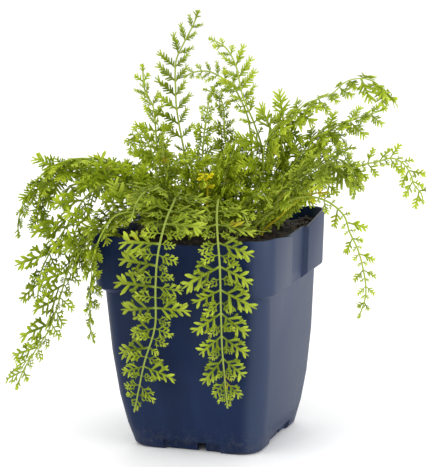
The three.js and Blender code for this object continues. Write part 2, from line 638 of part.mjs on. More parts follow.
// Spheres along a leaflet's axis and fingers, for the test against its neighbours. Those that are
// offRib must be clear of the rib that the leaflet grows from, too.
function spheresOf(leaflet, outline) {
  const spheres = [];
  const add = (out, aside, radius, offRib) => {
    spheres.push({ p: placeOn(leaflet, out, aside), radius, offRib });
  };
  const web = outline.stations.at(-1);
  for (let out = 2.4; out <= outline.end; out += 1.2) {
    const radius = out < web.out + 1.5 ? Math.max(web.half, FINGER_RADIUS) : FINGER_RADIUS;
    add(out, 0, radius, out > 0.5 * outline.end);
  }
  for (const finger of outline.fingers) {
    for (let long = 1.6; long <= finger.long; long += 1.2) {
      const [out, aside] = fingertip({ from: finger.from, long });
      add(out, aside, FINGER_RADIUS, long > 0.45 * finger.long);
      add(out, -aside, FINGER_RADIUS, long > 0.45 * finger.long);
    }
  }
  return spheres;
}

// A thin plate that is described by its middle surface: each vertex has a face direction and a
// thickness, and every triangle is made alike on both faces, with walls round the free edge.
class Plate {
  positions = [];
  triangles = [];
  free = new Map();

  vertex(point, face, thickness) {
    for (const sign of [1, -1]) {
      const p = point.clone().addScaledVector(face, (sign * thickness) / 2);
      this.positions.push(p.x, p.y, p.z);
    }
    return this.positions.length / 6 - 1;
  }

  triangle(a, b, c) {
    this.triangles.push(2 * a, 2 * b, 2 * c, 2 * a + 1, 2 * c + 1, 2 * b + 1);
    for (const [from, to] of [[a, b], [b, c], [c, a]]) {
      if (!this.free.delete(`${to},${from}`)) this.free.set(`${from},${to}`, [from, to]);
    }
  }

  quad(a, b, c, d) {
    this.triangle(a, b, c);
    this.triangle(a, c, d);
  }

  geometry() {
    const walls = [];
    for (const [a, b] of this.free.values()) {
      walls.push(2 * a, 2 * a + 1, 2 * b + 1, 2 * a, 2 * b + 1, 2 * b);
    }
    return new THREE.BufferGeometry()
      .setAttribute("position", new THREE.Float32BufferAttribute(this.positions, 3))
      .setIndex([...this.triangles, ...walls]);
  }
}

// Adds a leaflet to the plate. rear and front are the two rib vertices it grows from. mirrored is
// true on the rib's right, where the same outline runs the other way round.
function addLeaflet(plate, leaflet, outline, rear, front, mirrored) {
  const corner = (out, ahead) => plate.vertex(placeOn(leaflet, out, ahead), leaflet.face, LEAF_THICKNESS);
  const triangle = (a, b, c) => (mirrored ? plate.triangle(a, c, b) : plate.triangle(a, b, c));
  outline.stations.forEach(({ out, half }, j) => {
    const nextRear = corner(out, -half);
    const nextFront = corner(out, half);
    triangle(rear, front, nextFront);
    triangle(rear, nextFront, nextRear);
    if (outline.fingers[j]) {
      const [tip, aside] = fingertip(outline.fingers[j]);
      triangle(front, corner(tip, aside), nextFront);
      triangle(nextRear, corner(tip, -aside), rear);
    }
    [rear, front] = [nextRear, nextFront];
  });
  triangle(rear, front, corner(outline.end, 0));
}

// How long a leaflet is at a share of the blade's length, as a share of the leaf's reach.
function leafletShare(leaf, t) {
  return Math.min(0.55 + 2.2 * t, 1) * Math.min(1, (leaf.end ?? LEAFLETS_AT_TIP) + 1.3 * (1 - t));
}

// A leaflet's place and directions. turn is its angle to the rib, lift its angle out of the blade,
// and hang how much it droops.
function layLeaflet(rib, { distance, sideSign, turn, lift, hang }, length) {
  const { point, along, side, face } = rib.at(distance);
  const outward = along.clone().multiplyScalar(Math.cos(turn));
  outward.addScaledVector(side, sideSign * Math.sin(turn));
  outward.multiplyScalar(Math.cos(lift)).addScaledVector(face, Math.sin(lift));
  outward.sub(new THREE.Vector3(0, 0, hang)).normalize();
  const front = along.clone().addScaledVector(outward, -along.dot(outward)).normalize();
  const upper = front.clone().cross(outward).multiplyScalar(sideSign);
  return { origin: point, outward, front, face: upper, length };
}

// The distances along the rib at which a leaf has its cross-sections: the stalk's, two at each pair
// of leaflets, and the one from which the tip grows.
function sectionsOf(leaf, rib) {
  const tipLength = Math.max(0.4 * leaf.reach, 4);
  const start = leaf.bare * rib.length;
  const end = rib.length - tipLength;
  const pitch = (end - start) / leaf.pairs;
  const pairs = Array.from({ length: leaf.pairs }, (_, i) => start + pitch * (i + 0.4));
  const bare = pairs[0] - LEAFLET_ROOT / 2;
  const exit = STALK_HOLE.depth - 1 + STALK_RISE;
  const steps = Math.ceil((bare - exit) / STALK_STEP);
  const stalk = [0, ...Array.from({ length: steps }, (_, i) => exit + ((bare - exit) * i) / steps)];
  const all = [...stalk, ...pairs.flatMap((d) => [d - LEAFLET_ROOT / 2, d + LEAFLET_ROOT / 2]), end];
  return { all, stalk, pairs, end, tipLength };
}

// Half the rib's width, and its thickness, at a share of its length.
const ribHalfWidth = (share) => mix(RIB.baseWidth, RIB.tipWidth, share) / 2;
const ribThickness = (share) => mix(RIB.baseThickness, RIB.tipThickness, Math.min(1.5 * share, 1));

function takeRib(name, rib, sections) {
  const ends = [...sections.all, rib.length].map((distance) => rib.at(distance).point);
  for (let i = 1; i < ends.length; i++) {
    const share = i / ends.length;
    const steps = Math.ceil(ends[i].distanceTo(ends[i - 1]));
    const radius = Math.hypot(ribHalfWidth(share), ribThickness(share) / 2);
    const along = (_, k) => ({ p: ends[i - 1].clone().lerp(ends[i], k / steps), radius });
    take(Array.from({ length: steps }, along), name);
  }
}

// The leaflet at the end of the rib.
function tipLeaflet(rib, { end, tipLength }) {
  const { point, along, side, face } = rib.at(end);
  return { origin: point, outward: along, front: side.clone().negate(), face, length: tipLength };
}

const tipOutline = (leaf, { tipLength }) => leafletOutline(tipLength, Math.min(leaf.lobes, 1));

// The leaflets of one leaf that find room, in pairs along its rib.
function growLeaflets(name, leaf, rib, sections, seed) {
  const random = makeRandom(seed);
  const bushy = THREE.MathUtils.degToRad(leaf.bushy);
  const [firstTurn, lastTurn] = leaf.spread ?? SPREAD;
  const tip = tipLeaflet(rib, sections);
  take(spheresOf(tip, tipOutline(leaf, sections)), name + " leaflets");
  return sections.pairs.map((distance, i) => {
    const t = (i + 0.5) / leaf.pairs;
    const pair = {};
    const hang = (leaf.hang ?? 0) * smoothStep(HANG.from, HANG.full, t);
    for (const sideSign of [1, -1]) {
      const jitter = [random(), random(), random()];
      if (leaf.skip?.some(([pairIndex, missing]) => pairIndex === i && missing === sideSign)) continue;
      const turn = THREE.MathUtils.degToRad(mix(firstTurn, lastTurn, t) + TURN_SWAY * (jitter[0] - 0.5));
      const sway = (i + (sideSign > 0 ? 0 : 1)) % 2 ? 1 : -1;
      const lift = bushy * (0.7 * sway + 0.8 * (jitter[1] - 0.5));
      const share = (leaf.sides ?? [1, 1])[sideSign > 0 ? 0 : 1];
      const full = leaf.reach * share * leafletShare(leaf, t) * mix(0.88, 1.08, jitter[2]);
      pair[sideSign] = findRoom(name, leaf, rib, { distance, sideSign, turn, lift, hang }, full);
    }
    return pair;
  });
}

// The first of several bends and lengths at which a leaflet is clear of all that is there already.
function findRoom(name, leaf, rib, place, full) {
  for (const shrink of SHORTENED) {
    for (const [bend, opened] of BENDS) {
      const bent = { ...place, turn: place.turn + opened, lift: place.lift + bend };
      const leaflet = layLeaflet(rib, bent, full * shrink);
      const outline = leafletOutline(leaflet.length, leaflet.length > 7 ? leaf.lobes : 0);
      const spheres = spheresOf(leaflet, outline);
      if (isClear(spheres, name)) {
        take(spheres, name + " leaflets");
        return { leaflet, outline };
      }
    }
  }
  return null;
}

function buildLeaf(leaf, rib, sections, pairs) {
  const plate = new Plate();
  const section = (distance) => {
    const { point, side, face } = rib.at(distance);
    const share = distance / rib.length;
    return [1, -1].map((sign) => {
      const edge = point.clone().addScaledVector(side, sign * ribHalfWidth(share));
      return plate.vertex(edge, face, ribThickness(share));
    });
  };
  let [left, right] = section(0);
  const extendTo = (distance) => {
    const [nextLeft, nextRight] = section(distance);
    plate.quad(left, right, nextRight, nextLeft);
    [left, right] = [nextLeft, nextRight];
  };
  for (const distance of sections.stalk.slice(1)) extendTo(distance);
  pairs.forEach((pair, i) => {
    extendTo(sections.pairs[i] - LEAFLET_ROOT / 2);
    const [rearLeft, rearRight] = [left, right];
    extendTo(sections.pairs[i] + LEAFLET_ROOT / 2);
    if (pair[1]) addLeaflet(plate, pair[1].leaflet, pair[1].outline, rearLeft, left, false);
    if (pair[-1]) addLeaflet(plate, pair[-1].leaflet, pair[-1].outline, rearRight, right, true);
  });
  extendTo(sections.end);
  addLeaflet(plate, tipLeaflet(rib, sections), tipOutline(leaf, sections), left, right, false);
  return solidOf(plate.geometry());
}

// ---- The whole plant ----

const yarrow = new THREE.Group();

function addMesh(name, solid, colour, roughness) {
  const material = new THREE.MeshStandardMaterial({ color: colour, roughness, metalness: 0 });
  const mesh = new THREE.Mesh(geometryOf(solid), material);
  mesh.name = name;
  yarrow.add(mesh);
}

const leaves = Object.entries(LEAVES).map(([name, leaf]) => {
  const rib = ribOf(leaf);
  return { name, leaf, rib, sections: sectionsOf(leaf, rib) };
});
for (const { name, rib, sections } of leaves) takeRib(name, rib, sections);

addMesh("pot", buildPot(), 0x2c3656, 0.42);
addMesh("soil", buildSoil(Object.values(LEAVES)), 0x1d1613, 0.95);
leaves.forEach(({ name, leaf, rib, sections }, index) => {
  const pairs = growLeaflets(name, leaf, rib, sections, index + 1);
  addMesh(name, buildLeaf(leaf, rib, sections, pairs), LEAF_COLOURS[leaf.colour], 0.6);
});

export default yarrow;
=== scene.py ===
import math

import bmesh
import bpy
from mathutils import Matrix, Vector, noise


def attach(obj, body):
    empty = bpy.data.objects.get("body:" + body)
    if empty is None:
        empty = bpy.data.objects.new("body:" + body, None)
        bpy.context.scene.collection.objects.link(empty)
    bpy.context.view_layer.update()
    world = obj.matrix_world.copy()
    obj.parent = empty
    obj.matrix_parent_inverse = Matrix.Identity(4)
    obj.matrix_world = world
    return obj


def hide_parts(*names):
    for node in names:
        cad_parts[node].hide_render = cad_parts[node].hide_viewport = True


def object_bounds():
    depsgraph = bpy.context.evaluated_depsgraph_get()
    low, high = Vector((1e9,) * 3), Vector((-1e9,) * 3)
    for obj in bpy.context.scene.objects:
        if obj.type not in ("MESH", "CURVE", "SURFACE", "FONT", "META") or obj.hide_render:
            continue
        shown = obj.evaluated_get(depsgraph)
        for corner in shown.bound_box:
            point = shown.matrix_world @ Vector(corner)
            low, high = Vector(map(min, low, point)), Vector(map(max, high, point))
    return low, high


# A young yarrow in a square nursery pot: the pot, its soil and one piece for each feathery leaf. Each leaf
# grows by rule along its rib. The plant's rules are in millimetres, and its meshes in metres.

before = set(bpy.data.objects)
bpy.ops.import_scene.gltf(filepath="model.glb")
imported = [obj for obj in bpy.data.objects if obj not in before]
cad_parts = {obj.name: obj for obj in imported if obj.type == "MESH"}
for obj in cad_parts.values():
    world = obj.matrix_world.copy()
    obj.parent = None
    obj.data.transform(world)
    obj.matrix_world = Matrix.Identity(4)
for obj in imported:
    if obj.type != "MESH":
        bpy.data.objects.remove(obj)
CAD_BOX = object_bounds()

MM = 0.001


def mix(low, high, share):
    return low + (high - low) * share


def smooth_step(low, high, value):
    share = min(max((value - low) / (high - low), 0), 1)
    return share * share * (3 - 2 * share)


# ---- Camera ----

CAMERA_PLACE = Vector((0.39242, -1.00709, 0.33665))
CAMERA_HEADING = math.radians(21.004)
CAMERA_DIP = math.radians(11.387)
CAMERA_ROLL = math.radians(-1.528)
LENS = 147.48
SENSOR = 36


def aim_camera():
    camera = bpy.data.objects.new("camera", bpy.data.cameras.new("camera"))
    camera.data.lens = LENS
    camera.data.sensor_width = SENSOR
    level = Matrix.Rotation(CAMERA_HEADING, 4, "Z")
    dip = Matrix.Rotation(math.pi / 2 - CAMERA_DIP, 4, "X")
    roll = Matrix.Rotation(CAMERA_ROLL, 4, "Z")
    camera.matrix_world = Matrix.Translation(CAMERA_PLACE) @ level @ dip @ roll
    camera.data.clip_end = 10
    bpy.context.scene.collection.objects.link(camera)
    bpy.context.scene.camera = camera


# ---- Studio ----


def soft_box(name, place, target, size, power):
    lamp = bpy.data.lights.new(name, "AREA")
    lamp.shape = "RECTANGLE"
    lamp.size, lamp.size_y = size
    lamp.energy = power
    holder = bpy.data.objects.new(name, lamp)
    holder.location = place
    towards = Vector(target) - Vector(place)
    holder.rotation_euler = towards.to_track_quat("-Z", "Y").to_euler()
    bpy.context.scene.collection.objects.link(holder)


def light_studio():
    """A soft key light, a broad one that lights the pot's right side, one from behind, and a white room."""
    scene = bpy.context.scene
    scene.view_settings.view_transform = "Standard"
    middle = (0, 0, 0.13)
    soft_box("key", (-0.55, -1.0, 1.25), middle, (0.9, 0.9), 6)
    soft_box("side", (1.3, -0.32, 0.4), middle, (0.8, 1.0), 8.5)
    soft_box("back", (-0.3, 1.2, 0.9), middle, (1.0, 0.7), 4)
    world = bpy.data.worlds.new("studio")
    world.use_nodes = True
    background = world.node_tree.nodes["Background"]
    background.inputs["Color"].default_value = (1, 1, 1, 1)
    background.inputs["Strength"].default_value = 1.05
    scene.world = world


def lay_floor():
    sheet = bmesh.new()
    bmesh.ops.create_grid(sheet, x_segments=2, y_segments=2, size=4)
    floor = object_from(sheet, "floor", paint_floor())


# ---- Materials ----


class Value:
    """A socket of a material's nodes. Arithmetic on it adds Math nodes."""

    def __init__(self, finish, socket):
        self.finish = finish
        self.socket = socket

    def math(self, operation, *values):
        return self.finish.node("ShaderNodeMath", {"operation": operation}, values)

    def __add__(self, other):
        return self.math("ADD", self, other)

    __radd__ = __add__

    def __sub__(self, other):
        return self.math("SUBTRACT", self, other)

    def __rsub__(self, other):
        return self.math("SUBTRACT", other, self)

    def __mul__(self, other):
        return self.math("MULTIPLY", self, other)

    __rmul__ = __mul__

    def above(self, low, high):
        """0 where the value is under low, 1 where it is over high."""
        inputs = {"Value": self, "From Min": low, "From Max": high}
        return self.finish.node("ShaderNodeMapRange", {"interpolation_type": "SMOOTHSTEP"}, inputs)

    def clamped(self):
        return self.math("MINIMUM", self.math("MAXIMUM", self, 0), 1)


class Finish:
    """One material, with a Principled shader to feed."""

    def __init__(self, name):
        self.material = bpy.data.materials.new(name)
        self.material.use_nodes = True
        self.tree = self.material.node_tree
        self.shader = self.tree.nodes["Principled BSDF"]

    def node(self, kind, settings=None, inputs=(), output=0):
        made = self.tree.nodes.new(kind)
        for setting, value in (settings or {}).items():
            setattr(made, setting, value)
        pairs = inputs.items() if isinstance(inputs, dict) else enumerate(inputs)
        for socket, value in pairs:
            self.feed(made.inputs[socket], value)
        return Value(self, made.outputs[output])

    def feed(self, socket, value):
        if isinstance(value, Value):
            self.tree.links.new(value.socket, socket)
        else:
            socket.default_value = value

    def set(self, **sockets):
        for name, value in sockets.items():
            self.feed(self.shader.inputs[name.replace("_", " ")], value)

    def place(self, scale=(1, 1, 1)):
        """The point on the object, in metres times a scale."""
        where = self.node("ShaderNodeTexCoord", output="Object")
        return self.node("ShaderNodeMapping", {"vector_type": "POINT"}, {"Vector": where, "Scale": scale})

    def axis(self, name):
        where = self.node("ShaderNodeTexCoord", output="Object")
        return self.node("ShaderNodeSeparateXYZ", None, [where], output=name)

    def noise(self, size, detail=3, roughness=0.5, stretch=(1, 1, 1)):
        """Noise from 0 to 1 whose lumps are about size metres across."""
        inputs = {"Vector": self.place(stretch), "Scale": 1 / size, "Detail": detail, "Roughness": roughness}
        return self.node("ShaderNodeTexNoise", {"noise_dimensions": "3D"}, inputs)

    def cells(self, size):
        """The distance to the middle of the nearest of many cells about size metres across."""
        inputs = {"Vector": self.place(), "Scale": 1 / size}
        return self.node("ShaderNodeTexVoronoi", {"feature": "F1"}, inputs, output="Distance")

    def attribute(self, name):
        return self.node("ShaderNodeAttribute", {"attribute_name": name}, output="Fac")

    def blend(self, share, low, high):
        """A colour between two colours."""
        inputs = {"Factor": share, 6: low, 7: high}
        return self.node("ShaderNodeMix", {"data_type": "RGBA", "clamp_factor": True}, inputs, output=2)

    def bump(self, height, distance, strength=1.0):
        inputs = {"Height": height, "Distance": distance, "Strength": strength}
        self.set(Normal=self.node("ShaderNodeBump", None, inputs))


def colour(red, green, blue):
    """A colour from 0 to 255 levels, as linear light."""

    def linear(level):
        share = level / 255
        return share / 12.92 if share <= 0.04045 else ((share + 0.055) / 1.055) ** 2.4

    return (linear(red), linear(green), linear(blue), 1)


def paint_floor():
    floor = Finish("studio_floor")
    tone = floor.noise(0.6, detail=2)
    floor.set(Base_Color=floor.blend(tone, colour(252, 252, 252), colour(254, 254, 254)), Roughness=0.85)
    return floor.material


def paint_pot():
    """Dark blue moulded plastic: clouded, streaked, with a painted sheen that makes its right side paler,
    scuffed at the rim and dusty.
    """
    pot = Finish("pot_plastic")
    cloud = pot.noise(0.035, detail=4)
    streaks = pot.noise(0.006, detail=3, stretch=(1, 1, 0.06))
    grain = pot.noise(0.0006, detail=2)
    height = pot.axis("Z")
    scuffs = pot.noise(0.004, detail=6, roughness=0.75, stretch=(1, 1, 0.5)).above(0.6, 0.72)
    rim_wear = height.above(0.1205, 0.1225) * scuffs
    dust = (1 - height.above(0.0, 0.02)) * pot.noise(0.003, detail=5, roughness=0.7).above(0.45, 0.7)
    plastic = pot.blend(cloud.above(0.3, 0.7), colour(9, 27, 58), colour(15, 34, 68))
    plastic = pot.blend(streaks.above(0.35, 0.75) * 0.35, plastic, colour(26, 45, 80))
    # Painted sheen: the +X side is painted a paler grey-blue, as light from that side would make it, so it
    # looks paler from every angle.
    eased_share = (pot.axis("X") - 0.1 * height).above(0.0285, 0.036)
    plastic = pot.blend(eased_share * 0.5, plastic, colour(62, 72, 94))
    plastic = pot.blend(rim_wear * 0.5, plastic, colour(96, 106, 132))
    plastic = pot.blend(dust * 0.35, plastic, colour(92, 92, 96))
    roughness = 0.36 + 0.1 * cloud + 0.06 * streaks + 0.25 * dust
    pot.set(Base_Color=plastic, Roughness=roughness)
    pot.shader.inputs["Specular IOR Level"].default_value = 0.15
    pot.bump(0.6 * grain + 0.4 * streaks, 0.00012, 0.5)
    return pot.material


def paint_soil():
    """Dark earth with lighter fibres and chips of bark."""
    soil = Finish("potting_soil")
    patches = soil.noise(0.006, detail=5, roughness=0.65)
    fine = soil.noise(0.0012, detail=5, roughness=0.7)
    chips = soil.cells(0.0018)
    earth = soil.blend(patches.above(0.35, 0.7), colour(26, 20, 17), colour(58, 44, 34))
    earth = soil.blend(fine.above(0.62, 0.75), earth, colour(96, 76, 56))
    earth = soil.blend(chips.above(0.75, 0.95) * 0.5, earth, colour(14, 11, 10))
    soil.set(Base_Color=earth, Roughness=0.9 - 0.2 * patches)
    soil.bump(fine + 0.5 * patches, 0.0006, 0.9)
    return soil.material


def paint_leaf(name, lit, shaded, tip, vein):
    """A leaf's green, between a lit and a shaded green from lobe to lobe, with painted shade towards each
    leaflet's base and along each lobe's edges and a painted highlight along each lobe's ridge; it pales
    towards the tips and yellows in patches.
    """
    leaf = Finish(name)
    tone = leaf.attribute("tone")
    reach = leaf.attribute("reach")
    ridge = leaf.attribute("ridge")
    mottle = leaf.noise(0.0035, detail=4, roughness=0.6)
    fibres = leaf.noise(0.0005, detail=2)
    blade = leaf.blend((tone * 1.1 + mottle * 0.7 - 0.4).clamped(), shaded, lit)
    # Painted shade towards each leaflet's base.
    blade = leaf.blend((1 - reach.above(0.1, 0.65)) * 0.55, blade, shaded)
    blade = leaf.blend(reach.above(0.5, 1.0) * 0.75, blade, tip)
    # A painted highlight along each lobe's ridge, in the tip green, and painted shade along its side edges.
    blade = leaf.blend(ridge * 0.25, blade, tip)
    blade = leaf.blend((1 - ridge) * 0.45, blade, shaded)
    blade = leaf.blend((1 - reach.above(0.0, 0.12)) * 0.6, blade, vein)
    aged = leaf.noise(0.014, detail=2).above(0.66, 0.76)
    blade = leaf.blend(aged * 0.55, blade, colour(176, 150, 24))
    leaf.set(Base_Color=blade, Roughness=0.46 + 0.2 * mottle)
    leaf.shader.inputs["Specular IOR Level"].default_value = 0.18
    leaf.shader.inputs["Subsurface Weight"].default_value = 0.12
    leaf.shader.inputs["Subsurface Radius"].default_value = (0.6, 1.0, 0.2)
    leaf.shader.inputs["Subsurface Scale"].default_value = 0.0012
    leaf.bump(fibres + 0.6 * mottle, 0.00012, 0.6)
    return leaf.material


# For each kind of leaf: its lit green, its shaded green, the green of its tips, which is also its painted
# highlight along lobe ridges, and that of its veins.
LEAF_COLOURS = {
    "fresh": (colour(136, 156, 6), colour(56, 74, 1), colour(182, 198, 62), colour(150, 166, 80)),
    "mid": (colour(160, 181, 6), colour(80, 101, 2), colour(192, 208, 58), colour(166, 182, 76)),
    "deep": (colour(138, 158, 4), colour(63, 81, 1), colour(176, 192, 46), colour(156, 172, 68)),
    "yellowed": (colour(255, 240, 14), colour(250, 222, 8), colour(255, 246, 60), colour(120, 112, 40)),
}


# ---- Mesh helpers ----


def object_from(sheet, name, material, smooth_angle=None):
    """An object at the origin from a bmesh, which is used up."""
    mesh = bpy.data.meshes.new(name)
    sheet.to_mesh(mesh)
    sheet.free()
    mesh.materials.append(material)
    piece = bpy.data.objects.new(name, mesh)
    bpy.context.scene.collection.objects.link(piece)
    if smooth_angle is not None:
        mesh.shade_smooth()
        mesh.set_sharp_from_angle(angle=math.radians(smooth_angle))
    return piece


def stamp(sheet, mesh, place):
    """Adds a copy of a mesh to a bmesh, moved by a matrix."""
    known = len(sheet.verts)
    sheet.from_mesh(mesh)
    sheet.verts.ensure_lookup_table()
    bmesh.ops.transform(sheet, matrix=place, verts=sheet.verts[known:])


# ---- The pot ----

EDGE_ROUNDING = 0.3 * MM
SHARP_EDGE = math.radians(38)


def dress_pot(material):
    """The moulded pot with its edges rounded."""
    sheet = bmesh.new()
    sheet.from_mesh(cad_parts["pot"].data)
    bmesh.ops.remove_doubles(sheet, verts=sheet.verts, dist=0.02 * MM)
    bmesh.ops.dissolve_limit(sheet, angle_limit=math.radians(0.5), verts=sheet.verts, edges=sheet.edges)
    sharp = [e for e in sheet.edges if len(e.link_faces) == 2 and e.calc_face_angle() > SHARP_EDGE]
    bmesh.ops.bevel(sheet, geom=sharp, offset=EDGE_ROUNDING, offset_type="OFFSET", segments=2, profile=0.5,
                    affect="EDGES", clamp_overlap=True, material=-1)
    pot = object_from(sheet, "nursery_pot", material, smooth_angle=30)
    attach(pot, "root")
    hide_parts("pot")


# ---- The soil ----

RIM_HALF = 55
SOIL_EDGE = 117.5
SOIL_CROWN = 3
SOIL_LUMP = 0.9


def soil_height(x, y):
    """The height of the soil, in millimetres, at a point in millimetres."""
    edge = max(abs(x), abs(y)) / RIM_HALF
    lumps = math.sin(0.31 * x + 1.3) * math.cos(0.27 * y) + 0.7 * math.sin(0.55 * x - 0.47 * y)
    return SOIL_EDGE + SOIL_CROWN * (1 - edge * edge) + SOIL_LUMP * lumps


SOIL_HALF = 52.2
SOIL_CORNER = 11
# Each side is set back by this much over the middle stretch, behind the pot's sunk panel.
SOIL_RECESS = 3
RECESS_HALF = 15.5
RECESS_FLAT = 14
RECESS_FROM = 0.7
SOIL_CELLS = 110
# The soil's sides, going down: height, and width as a share of the top.
SOIL_SIDES = [(101, 0.985), (91, 0.9), (31, 0.81), (7.4, 0.71)]


def soil_point(u, v):
    """Where a point of a -1..1 square lies on the soil's rounded square, in millimetres."""
    x, y = SOIL_HALF * u, SOIL_HALF * v
    straight = SOIL_HALF - SOIL_CORNER
    over_x, over_y = abs(x) - straight, abs(y) - straight
    if over_x > 0 and over_y > 0:
        reach = max(over_x, over_y)
        scale = reach / math.hypot(over_x, over_y)
        x = math.copysign(straight + over_x * scale, x)
        y = math.copysign(straight + over_y * scale, y)
    if abs(y) < RECESS_HALF and abs(u) > RECESS_FROM:
        x -= math.copysign(set_back(u, y), x)
    if abs(x) < RECESS_HALF and abs(v) > RECESS_FROM:
        y -= math.copysign(set_back(v, x), y)
    return x, y


def set_back(share, along):
    """How far the soil's edge is set back, at a share of the way out and a place along the side."""
    eased_share = 1 - smooth_step(RECESS_FLAT, RECESS_HALF, abs(along))
    return SOIL_RECESS * smooth_step(RECESS_FROM, 1, abs(share)) * eased_share


def crumble(x, y):
    """How far crumbs raise the soil at a point."""
    coarse = noise.noise(Vector((x, y, 0)) * 0.45)
    clods = noise.cell(Vector((x, y, 3)) * 0.4)
    fine = noise.fractal(Vector((x, y, 7)) * 1.3, 1.0, 2.0, 3)
    heap = 2.2 * smooth_step(20, 50, x) * smooth_step(-30, 20, y)
    return 0.7 * coarse + 0.35 * clods + 0.35 * fine + heap


CRUMBS = 420
CRUMB_SEED = 77
CRUMB_SIZE = (0.5, 1.6)
CRUMB_LENGTH = (1, 2.2)
CRUMB_FIELD = (-0.96, 0.96)


def scatter_crumbs(sheet):
    """Crumbs and bits of bark, half sunk in the soil."""
    draws = Draws(CRUMB_SEED)
    for _ in range(CRUMBS):
        x, y = soil_point(draws.between(*CRUMB_FIELD), draws.between(*CRUMB_FIELD))
        size = draws.between(*CRUMB_SIZE)
        long = draws.between(*CRUMB_LENGTH)
        place = Matrix.Translation(Vector((x, y, soil_height(x, y) + crumble(x, y) + 0.3 * size)) * MM)
        turned = Matrix.Rotation(draws.between(0, math.pi), 4, "Z")
        tipped = Matrix.Rotation(draws.between(-0.6, 0.6), 4, "X")
        shape = Matrix.Diagonal((long * size * MM, size * MM, 0.7 * size * MM, 1))
        bmesh.ops.create_icosphere(sheet, subdivisions=1, radius=1, matrix=place @ turned @ tipped @ shape)


def dress_soil(material):
    """The soil: a crumbly top, sides that follow the pot down, a flat underside, and loose crumbs."""
    sheet = bmesh.new()
    bmesh.ops.create_grid(sheet, x_segments=SOIL_CELLS, y_segments=SOIL_CELLS, size=1)
    rim = [e for e in sheet.edges if e.is_boundary]
    for vert in sheet.verts:
        x, y = soil_point(vert.co.x, vert.co.y)
        vert.co = Vector((x, y, soil_height(x, y) + crumble(x, y))) * MM
    widest = 1
    for height, share in SOIL_SIDES:
        side = bmesh.ops.extrude_edge_only(sheet, edges=rim)["geom"]
        ring = [g for g in side if isinstance(g, bmesh.types.BMVert)]
        bmesh.ops.scale(sheet, vec=(share / widest, share / widest, 1), verts=ring)
        for vert in ring:
            vert.co.z = height * MM
        rim = [g for g in side if isinstance(g, bmesh.types.BMEdge)]
        widest = share
    bmesh.ops.contextual_create(sheet, geom=rim)
    scatter_crumbs(sheet)
    bmesh.ops.recalc_face_normals(sheet, faces=sheet.faces)
    soil = object_from(sheet, "potting_soil", material, smooth_angle=40)
    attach(soil, "root")
    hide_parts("soil")


# ---- Leaves ----

# Each leaf has a root, where its stalk leaves the soil, a heading in which it grows (0 is +X, 90 is +Y),
# and its rib's path as [out along the heading, height above the ground, aside to the left]. Lengths are in
# millimetres and angles in degrees. Aside is left out where it is 0, and a value where it is as in USUAL.
#   bare     the share of the rib, from the soil up, that has no pairs of leaflets
#   pairs    how many pairs of leaflets it has
#   reach    the length of its longest leaflets
#   lobes    how many pairs of lobes count when a leaflet looks for room
#   roll     the blade's turn about its rib
#   bushy    how far leaflets stand out of the blade, by turns up and down
#   spread   the first and the last leaflets' angles to the rib
#   kind     the form of its leaflets
#   fill     how many small leaflets stand between two pairs on each side
#   small    the small leaflets' length, as a share of what it would be
#   low      how far up the stalk, from just over the soil, its small leaflets begin, or BARE for none
#   hang     how much the leaflets droop
#   end      how long the last leaflets are, as a share of reach
#   sides    the leaflets' lengths on the left and on the right, as shares
#   lengths  for a pair, by its number from 0, its left and its right leaflet's length, as shares
#   turned   for a pair, how much wider its left and its right leaflet stand
BARE = 999
USUAL = dict(lobes=0, roll=0, spread=[78, 48], fill=2, small=1, low=2, hang=0, end=0.36, sides=[1, 1],
             lengths={}, turned={})
